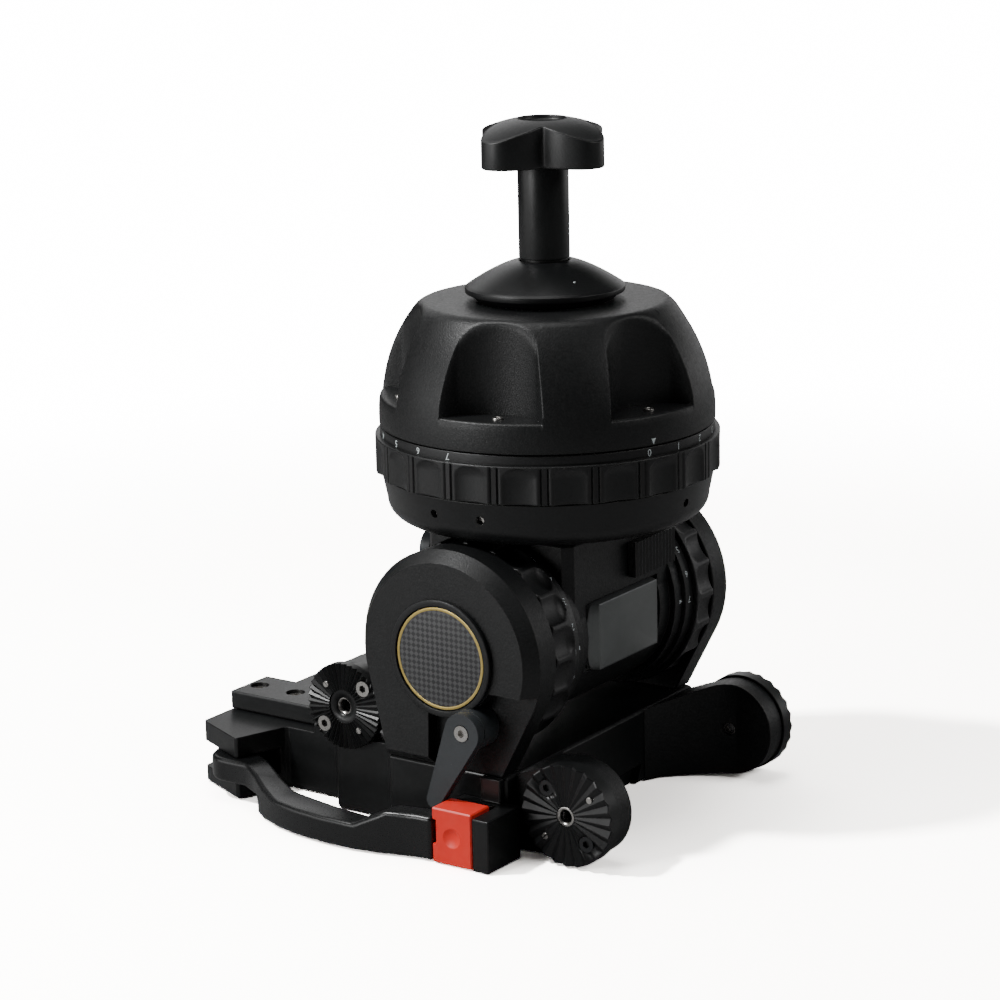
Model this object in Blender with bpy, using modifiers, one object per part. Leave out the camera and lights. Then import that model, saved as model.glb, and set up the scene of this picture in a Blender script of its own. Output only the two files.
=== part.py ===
"""Fluid video head, standing upside down on its camera plate, as separate solids.

Metres, +Z up. The origin is where the pan axis meets the face that the head stands on.
X is the tilt axis, with the near arm at -X. Y runs along the camera platform.
"""
from math import acos, asin, atan2, cos, hypot, pi, radians, sin, sqrt

import bmesh
import bpy
from mathutils import Matrix, Vector

# Clearances
SEAT_GAP = 0.0003  # between pieces that touch
RUN_GAP = 0.0005  # around pieces that move
OVERRUN = 0.003  # how far a cutter passes the face it opens
MERGE = 0.00002

# Camera plate and its dovetail channel
PLATE_THICKNESS = 0.0086
PLATE_FACE_WIDTH = 0.054
PLATE_FLARE = 0.004  # how much further each dovetail edge reaches at its root
PLATE_FRONT_REACH = 0.024
PLATE_REAR_REACH = 0.124
SLOT_WIDTH = 0.0104
SLOT_LENGTH = 0.030
SLOT_INNER_END = 0.012  # from the plate's middle
SLOT_RIM = 0.0022
CAMERA_SCREW_RADIUS = 0.0046
CAMERA_SCREW_HEAD_RADIUS = 0.0085
CAMERA_SCREW_HEAD_HEIGHT = 0.0034
PLATE_TRAVEL = 0.030

# Deck of the camera platform
DECK_HEIGHT = 0.035
DECK_FRONT = 0.028
DECK_REAR = 0.1475
WING_BEYOND_ARM = 0.0002  # how far the wing runs past the arm that stands on it
WING_REAR = 0.036
WAIST_HALF_WIDTH = 0.0595
TAIL_HALF_WIDTH = 0.072
TAIL_START = 0.108
TAIL_DROP = 0.005  # of the tail's top below the deck's
TAIL_STEP = 0.092
DECK_BEVEL = 0.0012
CHANNEL_DEPTH_SPARE = 0.0004

# Ears that carry the release lever
EAR_LOWER_THICKNESS = 0.0079
EAR_UPPER_THICKNESS = 0.0095
EAR_TIP_OUT = 0.0135  # beyond the tail's side
EAR_TIP_BACK = 0.030  # from the rear face

# Release lever
LEVER_PIVOT_IN = 0.0095  # inside the ear's tip
LEVER_PIVOT_BACK = 0.024
LEVER_KNUCKLE_RADIUS = 0.0125
LEVER_PIN_RADIUS = 0.003
LEVER_BAR_HEIGHT = 0.0125
LEVER_END_HEIGHT = 0.0198
LEVER_BEYOND_WING = 0.0325  # of the bow's outermost reach
LEVER_BAR_WIDTH = 0.012
LEVER_END_WIDTH = 0.011

# Latch that holds the lever shut
LATCH_WIDTH = 0.0207
LATCH_HEIGHT = 0.0250
LATCH_DEPTH = 0.0145
LATCH_FRONT = 0.0263  # how far forward of the pan axis its front side is
LATCH_TRAVEL = 0.003
LATCH_NOTCH_DEPTH = 0.0021  # in its front edge, where the lever's end lies
LATCH_NOTCH_BASE = 0.0085
LATCH_NOTCH_HEIGHT = 0.0111
LATCH_DIMPLE_RADIUS = 0.0045
LATCH_DIMPLE_DEPTH = 0.0011
LATCH_STEM_RADIUS = 0.003
LATCH_HOUSING_WALL = 0.0083

# Clamp jaw beside the plate
JAW_WIDTH = 0.008
JAW_FRONT = 0.024
JAW_REAR = 0.090
JAW_TRAVEL = 0.0012

# Block on the tail, with two screws
BLOCK_INNER = 0.0250
BLOCK_OUTER = 0.0520
BLOCK_FRONT = 0.0945
BLOCK_HEIGHT = 0.0090
BLOCK_SCREW_PITCH = 0.0215
BLOCK_SCREW_FROM_REAR = 0.0068
BLOCK_SCREW_HEAD_RADIUS = 0.0041
BLOCK_BORE_DEPTH = 0.0046
BLOCK_BEVEL = 0.0006

# Tilt rings, arms and tilt axis
RING_DECK_CLEARANCE = 0.0046
RING_BAND_PROUD = 0.0017  # of the housing's flange
RING_GRIP_PROUD = 0.0025  # of the number band
RING_WALL = 0.0060  # of the band, inside the flange's radius
RING_BAND_WIDTH = 0.0062
RING_GRIP_WIDTH = 0.0146
RING_SCALLOPS = 20
RING_SCALLOP_DEPTH = 0.0022
HOUSING_HALF_WIDTH = 0.0440
ARM_THICKNESS = 0.0120
ARM_INSET = 0.0006  # of its rim inside the ring's
ARM_CHAMFER = 0.0048
ARM_COVER_DEPTH = 0.0065
ARM_CUTAWAY_DEPTH = 0.0002  # of the cover's cutaway, into the arm's plate
ARM_FRONT_FOOT = 0.0255
ARM_REAR_FOOT = 0.0355
ARM_ARC_STEPS = 24
BADGE_RADIUS = 0.0230
BADGE_THICKNESS = 0.0016
BADGE_BEZEL_RADIUS = 0.0262
BADGE_BEZEL_HEIGHT = 0.0024
BADGE_RECESS = 0.0006

# Tilt lock
LOCK_FORWARD = 0.0158  # forward of the tilt axis
LOCK_BELOW = 0.0290  # below the tilt axis
LOCK_HUB_RADIUS = 0.0092
LOCK_HUB_PROUD = 0.0046  # of the arm's cover
LOCK_LEVER_THICKNESS = 0.0048
LOCK_LEVER_LENGTH = 0.0366
LOCK_LEVER_HEAD_RADIUS = 0.0088
LOCK_LEVER_TIP_RADIUS = 0.0036
LOCK_LEVER_ANGLE = radians(25.5)  # of its tip from straight down, towards the rear
LOCK_SCREW_RADIUS = 0.0036
LOCK_SCREW_DEPTH = 0.0022

# Tilt housing
BARREL_FLANGE_RADIUS = 0.0430
BARREL_STEP = 0.0030  # of the barrel inside its flanges
BARREL_WALL = 0.0050
BARREL_FLANGE_WIDTH = 0.0060
NECK_SIDE_INSET = 0.0015  # of the neck's sides, inside the barrel's ends
NECK_FACE_INSET = 0.0045  # of its faces, inside the flange's radius
NECK_BEVEL = 0.004
CHAMBER_WEB = 0.0060
BEARING_WIDTH = 0.0070
BEARING_WALL = 0.0070
TILT_SHAFT_RADIUS = 0.0120
PAD_HALF_WIDTH = 0.0240
PAD_HALF_HEIGHT = 0.0152
PAD_PROUD = 0.0020  # of its face, beyond the barrel
PAD_THICKNESS = 0.0058
PAD_CHAMFER = 0.0052
RIB_COVER_INSET = 0.0042  # of its outer side, from the neck's
RIB_COVER_WIDTH = 0.0335
RIB_COVER_HEIGHT = 0.0160
RIB_COVER_ABOVE = 0.0202  # its lower edge above the tilt axis
RIB_COVER_THICKNESS = 0.0040
RIB_COUNT = 12
RIB_DEPTH = 0.0008

# Pan base
BASE_CLEARANCE = 0.0009
BASE_HEIGHT = 0.0198
BASE_FLARE = 0.0023  # of its top, beyond its lower radius
BASE_LOW_RADIUS = 0.0722
BASE_FLOOR_RADIUS = 0.0640
BASE_ROUND = 0.0085
SET_SCREW_RADIUS = 0.0019
SET_SCREW_DEPTH = 0.0040
SET_SCREW_HEIGHT = 0.0118
SET_SCREW_AZIMUTHS = (radians(171.1), radians(190.1), radians(268.9))
PAN_SHAFT_RADIUS = 0.0140
PAN_SHAFT_RISE = 0.0150  # above the ball's lower edge

# Pan drag ring
PAN_RING_RADIUS = 0.0770
PAN_RING_GRIP_HEIGHT = 0.0170
PAN_RING_BAND_RADIUS = 0.0747
PAN_RING_BAND_HEIGHT = 0.0042
PAN_RING_SCALLOPS = 22
PAN_RING_SCALLOP_DEPTH = 0.0020
PAN_RING_WALL = 0.0120

# Half ball
BALL_RADIUS = 0.0750
BALL_SKIRT = 0.0040  # its lower edge below its centre
BALL_TOP = 0.0501  # its flat top above its centre
BALL_SHOULDER = 0.0070
BALL_CAVITY_RADIUS = 0.0500
BALL_CAVITY_HEIGHT = 0.0240
BALL_STEPS = 36
POCKET_COUNT = 6
POCKET_HALF_WIDTH = 0.0220
POCKET_DEPTH = 0.0128  # of its rounded back, inwards from its centre
POCKET_CENTRE = 0.0688
POCKET_FLOOR = 0.0094  # above the ball's centre
POCKET_AZIMUTH = radians(193.9)

# Clamp cap and tie-down
CAP_RADIUS = 0.0354
CAP_RIM_HEIGHT = 0.0057
CAP_RISE = 0.0114  # of the dome above the rim
CAP_WALL = 0.0050
CAP_BORE_RADIUS = 0.0112
CAP_TRAVEL = 0.012
SLEEVE_RADIUS = 0.0113
SLEEVE_NECK_RADIUS = 0.0104
SLEEVE_NECK_LENGTH = 0.0060
SLEEVE_NECK_SHOWN = 0.0010
SLEEVE_LENGTH = 0.0412
STUD_RADIUS = 0.0050
STUD_ENGAGEMENT = 0.0120
KNOB_HEIGHT = 0.0117  # at its lobes' ends
KNOB_LOBE_CENTRE = 0.0243
KNOB_LOBE_RADIUS = 0.0096
KNOB_WAIST = 0.0180
KNOB_DOME_RADIUS = 0.0680
KNOB_RECESS_RADIUS = 0.0105
KNOB_RECESS_DEPTH = 0.0030
KNOB_LOBES = 4
KNOB_TURN = radians(-11)

# Rosettes for the pan bars
FRONT_ROSETTE_RADIUS = 0.0227
FRONT_ROSETTE_FORWARD = 0.0586
FRONT_ROSETTE_LIFT = 0.0009  # of its rim above the standing face
FRONT_ROSETTE_THICKNESS = 0.0080
FRONT_ROSETTE_TEETH = 24
FRONT_BRACKET_INSET = 0.0075  # of its outer side from the wing's
FRONT_BRACKET_THICKNESS = 0.0108
FRONT_BRACKET_ROOT_WIDTH = 0.0370  # where its sweep meets the deck
FRONT_BRACKET_SWEEP = 0.0340  # how far forward the sweep runs
FRONT_BRACKET_HUB_INSET = 0.0010
REAR_ROSETTE_RADIUS = 0.0199
REAR_ROSETTE_BACK = 0.0627
REAR_ROSETTE_ABOVE = 0.0165  # of its middle, over the deck
REAR_ROSETTE_THICKNESS = 0.0050
REAR_ROSETTE_TEETH = 40
REAR_BRACKET_FRONT = 0.0363
REAR_BRACKET_REAR = 0.0722
REAR_BRACKET_ABOVE = 0.0022  # of its block's top, over the deck
REAR_BRACKET_THICKNESS = 0.0100
REAR_BOSS_RADIUS = 0.0170
ROSETTE_TOOTH_DEPTH = 0.0016
ROSETTE_THREAD_RADIUS = 0.0030
ROSETTE_SCREW_CIRCLE = 0.0148
ROSETTE_SCREW_RADIUS = 0.0036
ROSETTE_SCREW_DEPTH = 0.0024
FRONT_ROSETTE_SCREW_TURNS = (radians(132), radians(313))
REAR_ROSETTE_SCREW_TURNS = (radians(42), radians(221))

# Pan lock, on the rear of the neck
PAN_LOCK_HUB_RADIUS = 0.0080
PAN_LOCK_HUB_LENGTH = 0.0070
PAN_LOCK_HEAD_RADIUS = 0.0088
PAN_LOCK_LEVER_LENGTH = 0.0300
PAN_LOCK_LEVER_THICKNESS = 0.0050
PAN_LOCK_TIP_RADIUS = 0.0038

# Heights and places worked out from the sizes above
FRAME_FLOOR = SEAT_GAP
TAIL_HEIGHT = DECK_HEIGHT - TAIL_DROP
PLATE_MIDDLE = (PLATE_REAR_REACH - PLATE_FRONT_REACH) / 2
BARREL_RADIUS = BARREL_FLANGE_RADIUS - BARREL_STEP
NECK_HALF_WIDTH = HOUSING_HALF_WIDTH - NECK_SIDE_INSET
NECK_HALF_DEPTH = BARREL_FLANGE_RADIUS - NECK_FACE_INSET
RIB_COVER_LEFT = NECK_HALF_WIDTH - RIB_COVER_INSET - RIB_COVER_WIDTH
BASE_TOP_RADIUS = BASE_LOW_RADIUS + BASE_FLARE
CHAMBER_RADIUS = BARREL_RADIUS - BARREL_WALL
PAD_REACH = BARREL_RADIUS + PAD_PROUD
RING_BORE_RADIUS = BARREL_FLANGE_RADIUS - RING_WALL
RING_BAND_RADIUS = BARREL_FLANGE_RADIUS + RING_BAND_PROUD
RING_RADIUS = RING_BAND_RADIUS + RING_GRIP_PROUD
ARM_RADIUS = RING_RADIUS - ARM_INSET
EAR_LOWER_TOP = FRAME_FLOOR + EAR_LOWER_THICKNESS
EAR_UPPER_FLOOR = TAIL_HEIGHT - EAR_UPPER_THICKNESS
TILT_AXIS_HEIGHT = DECK_HEIGHT + RING_DECK_CLEARANCE + RING_RADIUS
BASE_FLOOR = TILT_AXIS_HEIGHT + RING_RADIUS + BASE_CLEARANCE
BASE_TOP = BASE_FLOOR + BASE_HEIGHT
PAN_RING_FLOOR = BASE_TOP + SEAT_GAP
PAN_RING_SHOULDER = PAN_RING_FLOOR + PAN_RING_GRIP_HEIGHT
PAN_RING_TOP = PAN_RING_SHOULDER + PAN_RING_BAND_HEIGHT
BALL_FLOOR = PAN_RING_TOP + SEAT_GAP
BALL_CENTRE = BALL_FLOOR + BALL_SKIRT
BALL_TOP_HEIGHT = BALL_CENTRE + BALL_TOP
CAP_FLOOR = BALL_TOP_HEIGHT + SEAT_GAP
CAP_RIM_TOP = CAP_FLOOR + CAP_RIM_HEIGHT
CAP_TOP = CAP_RIM_TOP + CAP_RISE
SLEEVE_SHOULDER = CAP_TOP + SLEEVE_NECK_SHOWN
SLEEVE_TOP = SLEEVE_SHOULDER + SLEEVE_LENGTH
KNOB_FLOOR = SLEEVE_TOP + SEAT_GAP
RING_INNER = HOUSING_HALF_WIDTH + RUN_GAP
RING_OUTER = RING_INNER + RING_BAND_WIDTH + RING_GRIP_WIDTH
ARM_INNER = RING_OUTER + RUN_GAP
ARM_OUTER = ARM_INNER + ARM_THICKNESS
ARM_FACE = ARM_OUTER + ARM_COVER_DEPTH
ARM_FLOOR = DECK_HEIGHT + SEAT_GAP
WING_HALF_WIDTH = ARM_OUTER + WING_BEYOND_ARM
FRONT_BRACKET_OUTER = WING_HALF_WIDTH - FRONT_BRACKET_INSET
FRONT_BRACKET_INNER = FRONT_BRACKET_OUTER - FRONT_BRACKET_THICKNESS
FRONT_BRACKET_ROOT = FRONT_BRACKET_OUTER - FRONT_BRACKET_ROOT_WIDTH
FRONT_ROSETTE_OUT = FRONT_BRACKET_OUTER + SEAT_GAP + FRONT_ROSETTE_THICKNESS
FRONT_ROSETTE_HEIGHT = FRONT_ROSETTE_RADIUS + FRONT_ROSETTE_LIFT
REAR_BRACKET_INNER = WAIST_HALF_WIDTH + SEAT_GAP
REAR_BRACKET_OUTER = REAR_BRACKET_INNER + REAR_BRACKET_THICKNESS
REAR_BRACKET_TOP = DECK_HEIGHT + REAR_BRACKET_ABOVE
REAR_ROSETTE_OUT = REAR_BRACKET_OUTER + SEAT_GAP + REAR_ROSETTE_THICKNESS
REAR_ROSETTE_HEIGHT = DECK_HEIGHT + REAR_ROSETTE_ABOVE
LEVER_PIVOT_X = -(TAIL_HALF_WIDTH + EAR_TIP_OUT - LEVER_PIVOT_IN)
LEVER_PIVOT_Y = DECK_REAR - LEVER_PIVOT_BACK
LEVER_OUT = WING_HALF_WIDTH + LEVER_BEYOND_WING
LEVER_END_SHARE = 0.7826  # how far out the bow's end is, from the pivot to the outermost reach
LEVER_END_OUT = -LEVER_PIVOT_X + LEVER_END_SHARE * (LEVER_OUT + LEVER_PIVOT_X)
LATCH_REAR = LATCH_FRONT - LATCH_WIDTH
LEVER_END_Y = -LATCH_REAR + RUN_GAP
LOCK_Y = -LOCK_FORWARD
LOCK_Z = TILT_AXIS_HEIGHT - LOCK_BELOW

FRONT_ROSETTE = (-FRONT_ROSETTE_FORWARD, FRONT_ROSETTE_HEIGHT)
REAR_ROSETTE = (REAR_ROSETTE_BACK, REAR_ROSETTE_HEIGHT)

PARTS = "fluid_video_head"
CUTTERS = "cutters"


def clear_scene():
    for obj in list(bpy.data.objects):
        bpy.data.objects.remove(obj, do_unlink=True)
    for name in (PARTS, CUTTERS):
        bpy.context.scene.collection.children.link(bpy.data.collections.new(name))


def material(name, colour, roughness, metallic):
    made = bpy.data.materials.get(name)
    if made:
        return made
    made = bpy.data.materials.new(name)
    made.use_nodes = True
    shader = made.node_tree.nodes["Principled BSDF"]
    shader.inputs["Base Color"].default_value = (*colour, 1)
    shader.inputs["Roughness"].default_value = roughness
    shader.inputs["Metallic"].default_value = metallic
    return made


FINISHES = {
    "black_anodised": ((0.012, 0.012, 0.013), 0.42, 0.6),
    "black_paint": ((0.010, 0.010, 0.011), 0.55, 0.0),
    "black_plastic": ((0.014, 0.014, 0.015), 0.48, 0.0),
    "grey_lever": ((0.035, 0.038, 0.042), 0.5, 0.2),
    "grey_pad": ((0.055, 0.058, 0.062), 0.4, 0.3),
    "red_anodised": ((0.62, 0.03, 0.015), 0.35, 0.3),
    "badge_face": ((0.03, 0.03, 0.032), 0.3, 0.2),
    "steel": ((0.62, 0.62, 0.63), 0.28, 1.0),
    "spring_steel": ((0.5, 0.5, 0.52), 0.35, 1.0),
    "friction_disc": ((0.35, 0.33, 0.3), 0.5, 0.3),
}


def link(obj, collection=PARTS):
    for owner in list(obj.users_collection):
        owner.objects.unlink(obj)
    bpy.data.collections[collection].objects.link(obj)
    return obj


def finish(obj, finish_name, angle=radians(32)):
    """Give a piece its material and shade its round faces smooth."""
    obj.data.materials.clear()
    obj.data.materials.append(material(finish_name, *FINISHES[finish_name]))
    obj.data.shade_smooth()
    obj.data.set_sharp_from_angle(angle=angle)
    return obj


def from_bmesh(name, shape, collection=PARTS):
    mesh = bpy.data.meshes.new(name)
    shape.to_mesh(mesh)
    shape.free()
    obj = bpy.data.objects.new(name, mesh)
    bpy.data.collections[collection].objects.link(obj)
    return obj


def box(name, low, high, bevel=0.0, collection=PARTS):
    """A block between two corners, its edges rounded by one bevel."""
    shape = bmesh.new()
    bmesh.ops.create_cube(shape, size=1)
    size = [h - l for l, h in zip(low, high)]
    middle = [(h + l) / 2 for l, h in zip(low, high)]
    bmesh.ops.scale(shape, vec=size, verts=shape.verts)
    obj = from_bmesh(name, shape, collection)
    obj.location = middle
    if bevel:
        round_edges(obj, bevel)
    return obj


def round_edges(obj, width, segments=1, angle=radians(40)):
    made = obj.modifiers.new("round_edges", "BEVEL")
    made.width = width
    made.segments = segments
    made.limit_method = "ANGLE"
    made.angle_limit = angle
    return made


def rod(name, radius, start, end, sides=24, collection=PARTS):
    """A straight round bar between two points."""
    start = Vector(start)
    end = Vector(end)
    shape = bmesh.new()
    bmesh.ops.create_cone(
        shape, cap_ends=True, segments=sides, radius1=radius, radius2=radius, depth=(end - start).length
    )
    obj = from_bmesh(name, shape, collection)
    obj.location = (start + end) / 2
    obj.rotation_euler = (end - start).to_track_quat("Z", "Y").to_euler()
    return obj


def turned(name, profile, steps, along="Z", centre=(0, 0, 0), collection=PARTS):
    """A profile of (radius, height) points turned round an axis.

    The profile runs down the outer side. It ends on the axis, or it comes back to its start.
    """
    mesh = bpy.data.meshes.new(name)
    closed = min(radius for radius, height in profile) > 0
    points = [(radius, 0, height) for radius, height in profile]
    edges = [(i, i + 1) for i in range(len(points) - 1)]
    if closed:
        edges.append((len(points) - 1, 0))
    mesh.from_pydata(points, edges, [])
    obj = bpy.data.objects.new(name, mesh)
    bpy.data.collections[collection].objects.link(obj)
    obj.location = centre
    if along == "X":
        obj.rotation_euler = (0, pi / 2, 0)
    screw = obj.modifiers.new("turn", "SCREW")
    screw.steps = steps
    screw.render_steps = steps
    screw.use_merge_vertices = True
    screw.merge_threshold = MERGE
    screw.use_normal_calculate = False
    return obj


def baked(obj):
    """Swap a piece's modifiers for the mesh that they make, in world space."""
    bpy.context.view_layer.update()
    graph = bpy.context.evaluated_depsgraph_get()
    mesh = bpy.data.meshes.new_from_object(obj.evaluated_get(graph))
    mesh.transform(obj.matrix_world)
    shape = bmesh.new()
    shape.from_mesh(mesh)
    bmesh.ops.remove_doubles(shape, verts=shape.verts, dist=MERGE)
    bmesh.ops.recalc_face_normals(shape, faces=shape.faces)
    shape.to_mesh(mesh)
    shape.free()
    name = obj.name
    owner = obj.users_collection[0]
    bpy.data.objects.remove(obj, do_unlink=True)
    made = bpy.data.objects.new(name, mesh)
    mesh.name = name
    owner.objects.link(made)
    return made


def slab(name, outline, low, high, along="Z", collection=PARTS):
    """A flat outline carried from low to high along an axis.

    The outline's points are (x, y) along Z, (y, z) along X and (x, z) along Y.
    """
    curve = bpy.data.curves.new(name, "CURVE")
    curve.dimensions = "2D"
    curve.fill_mode = "BOTH"
    curve.extrude = (high - low) / 2
    spline = curve.splines.new("POLY")
    spline.points.add(len(outline) - 1)
    for point, (u, v) in zip(spline.points, outline):
        point.co = (u, v, 0, 1)
    spline.use_cyclic_u = True
    obj = bpy.data.objects.new(name, curve)
    bpy.data.collections[collection].objects.link(obj)
    middle = (low + high) / 2
    obj.matrix_world = {
        "X": Matrix(((0, 0, 1, middle), (1, 0, 0, 0), (0, 1, 0, 0), (0, 0, 0, 1))),
        "Y": Matrix(((1, 0, 0, 0), (0, 0, -1, middle), (0, 1, 0, 0), (0, 0, 0, 1))),
        "Z": Matrix.Translation((0, 0, middle)),
    }[along]
    return baked(obj)


def boolean(obj, tool, operation):
    link(tool, CUTTERS)
    tool.hide_render = True
    tool.display_type = "WIRE"
    made = obj.modifiers.new(operation.lower(), "BOOLEAN")
    made.operation = operation
    made.object = tool
    made.solver = "EXACT"
    return obj


def cut(obj, tool):
    return boolean(obj, tool, "DIFFERENCE")


def join(obj, tool):
    return boolean(obj, tool, "UNION")


def keep_inside(obj, tool):
    return boolean(obj, tool, "INTERSECT")


def set_origin(obj, point):
    """Move a baked piece's origin to a point on its joint's axis, its shape staying put."""
    obj.data.transform(Matrix.Translation(-Vector(point)))
    obj.location = point
    return obj


def arc(centre, radius, start, end, steps):
    """Points on an arc, both ends among them."""
    turns = [start + (end - start) * i / steps for i in range(steps + 1)]
    return [(centre[0] + radius * cos(t), centre[1] + radius * sin(t)) for t in turns]


def tangent_angle(centre, radius, point, side):
    """The angle on a circle where a line from a point touches it."""
    reach = hypot(point[0] - centre[0], point[1] - centre[1])
    base = atan2(point[1] - centre[1], point[0] - centre[0])
    return base + side * acos(radius / reach)


def polar(radius, azimuth, height=0.0):
    return Vector((radius * cos(azimuth), radius * sin(azimuth), height))


def stadium(centre_y, half_width, half_length, steps=6):
    """A slot's outline in plan, its ends half round."""
    run = half_length - half_width
    front = arc((0, centre_y - run), half_width, pi, 2 * pi, steps)
    rear = arc((0, centre_y + run), half_width, 0, pi, steps)
    return front + rear


def dovetail(grow, low, high):
    """The camera plate's cross-section, grown sideways, between two heights."""
    slope = PLATE_FLARE / PLATE_THICKNESS
    narrow = PLATE_FACE_WIDTH / 2 + grow + slope * low
    wide = PLATE_FACE_WIDTH / 2 + grow + slope * high
    return [(-narrow, low), (narrow, low), (wide, high), (-wide, high)]


def camera_plate():
    """The sliding plate that a camera screws to, and the face that the head stands on."""
    plate = slab("camera_plate", dovetail(0, 0, PLATE_THICKNESS), -PLATE_FRONT_REACH, PLATE_REAR_REACH, "Y")
    counter = CAMERA_SCREW_HEAD_HEIGHT + SEAT_GAP
    for side in (-1, 1):
        middle = PLATE_MIDDLE + side * (SLOT_INNER_END + SLOT_LENGTH / 2)
        slot = stadium(middle, SLOT_WIDTH / 2, SLOT_LENGTH / 2)
        cut(plate, slab("plate_slot", slot, -OVERRUN, PLATE_THICKNESS + OVERRUN))
        wide = stadium(middle, CAMERA_SCREW_HEAD_RADIUS + RUN_GAP, SLOT_LENGTH / 2 + SLOT_RIM)
        cut(plate, slab("plate_counter", wide, PLATE_THICKNESS - counter, PLATE_THICKNESS + OVERRUN))
    finish(plate, "black_anodised")


def camera_screws():
    """Two captive screws, their heads inside the plate's counterbored slots."""
    head = PLATE_THICKNESS - CAMERA_SCREW_HEAD_HEIGHT
    for side, word in ((-1, "front"), (1, "rear")):
        profile = [
            (0, PLATE_THICKNESS),
            (CAMERA_SCREW_HEAD_RADIUS, PLATE_THICKNESS),
            (CAMERA_SCREW_HEAD_RADIUS, head),
            (CAMERA_SCREW_RADIUS, head),
            (CAMERA_SCREW_RADIUS, RUN_GAP),
            (0, RUN_GAP),
        ]
        place = (0, PLATE_MIDDLE + side * (SLOT_INNER_END + SLOT_LENGTH / 2), 0)
        finish(turned(f"camera_screw_{word}", profile, 20, centre=place), "steel")


def deck_outline():
    """The platform in plan: wings under the arms, a waist, and a tail with the lever's ear."""
    return [
        (-WING_HALF_WIDTH, -DECK_FRONT),
        (WING_HALF_WIDTH, -DECK_FRONT),
        (WING_HALF_WIDTH, WING_REAR),
        (WAIST_HALF_WIDTH, WING_REAR),
        (WAIST_HALF_WIDTH, TAIL_START),
        (TAIL_HALF_WIDTH, TAIL_START + (TAIL_HALF_WIDTH - WAIST_HALF_WIDTH)),
        (TAIL_HALF_WIDTH, DECK_REAR),
        (-TAIL_HALF_WIDTH, DECK_REAR),
        (-TAIL_HALF_WIDTH - EAR_TIP_OUT, DECK_REAR - EAR_TIP_BACK),
        (-WAIST_HALF_WIDTH, TAIL_START),
        (-WAIST_HALF_WIDTH, WING_REAR),
        (-WING_HALF_WIDTH, WING_REAR),
    ]


def platform_deck():
    """The camera platform, its channel, the jaw's recess, and the gap between the lever's ears."""
    deck = slab("platform_deck", deck_outline(), FRAME_FLOOR, DECK_HEIGHT)
    far = WING_HALF_WIDTH + EAR_TIP_OUT
    cut(deck, box("tail_step", (-far, TAIL_STEP, TAIL_HEIGHT), (far, DECK_REAR + OVERRUN, DECK_HEIGHT + OVERRUN)))
    roof = PLATE_THICKNESS + CHANNEL_DEPTH_SPARE
    channel = dovetail(SEAT_GAP, -OVERRUN, roof)
    cut(deck, slab("channel", channel, -DECK_FRONT - OVERRUN, DECK_REAR + OVERRUN, "Y"))
    recess = jaw_outer() - SEAT_GAP - JAW_TRAVEL
    low = (recess, JAW_FRONT - RUN_GAP, -OVERRUN)
    cut(deck, box("jaw_recess", low, (-PLATE_FACE_WIDTH / 4, JAW_REAR + RUN_GAP, roof)))
    inner = LEVER_PIVOT_X + LEVER_KNUCKLE_RADIUS + RUN_GAP
    cut(deck, box(
        "ear_gap",
        (-far - OVERRUN, TAIL_START - OVERRUN, EAR_LOWER_TOP),
        (inner, DECK_REAR + OVERRUN, EAR_UPPER_FLOOR),
    ))
    pin = LEVER_PIN_RADIUS + SEAT_GAP
    cut(deck, rod("pin_bore", pin, (LEVER_PIVOT_X, LEVER_PIVOT_Y, -OVERRUN), pin_top(SEAT_GAP), 16))
    round_edges(deck, DECK_BEVEL)
    deck.modifiers.move(len(deck.modifiers) - 1, 0)
    finish(deck, "black_anodised")


def jaw_outer():
    return -(PLATE_FACE_WIDTH / 2 + PLATE_FLARE + JAW_WIDTH)


def pin_top(extra=0.0):
    """Where the lever's pin ends inside the upper ear."""
    return (LEVER_PIVOT_X, LEVER_PIVOT_Y, TAIL_HEIGHT - EAR_UPPER_THICKNESS / 3 + extra)


def clamp_jaw():
    """The sliding jaw that the lever presses against the plate's dovetail."""
    slope = PLATE_FLARE / PLATE_THICKNESS
    face = PLATE_FACE_WIDTH / 2 + SEAT_GAP
    low = RUN_GAP
    outline = [
        (jaw_outer(), low),
        (-face - slope * low, low),
        (-face - slope * PLATE_THICKNESS, PLATE_THICKNESS),
        (jaw_outer(), PLATE_THICKNESS),
    ]
    jaw = slab("clamp_jaw", outline, JAW_FRONT, JAW_REAR, "Y")
    finish(jaw, "steel")


def lever_pin():
    low = (LEVER_PIVOT_X, LEVER_PIVOT_Y, FRAME_FLOOR + SEAT_GAP)
    finish(rod("lever_pin", LEVER_PIN_RADIUS, low, pin_top(), 16), "steel")


# The lever's bow: how far along from pivot to end, how far out, and how wide
BOW_SHARES = (
    (0.10, 0.360, 1.10),
    (0.18, 0.520, 1.20),
    (0.25, 0.690, 1.28),
    (0.35, 0.855, 1.34),
    (0.45, 0.948, 1.36),
    (0.57, 0.998, 1.26),
    (0.70, 0.995, 1.10),
    (0.80, 0.930, 1.00),
    (0.88, 0.845, 0.95),
    (0.94, 0.795, 0.92),
    (1.00, LEVER_END_SHARE, 0.92),
)
# Where the lever steps and slopes, along from pivot to end
KNUCKLE_END_SHARE = 0.14
BAR_START_SHARE = 0.32
BAR_END_SHARE = 0.71
END_START_SHARE = 0.83
UNDERSIDE_STEP_SHARE = 0.20


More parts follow.
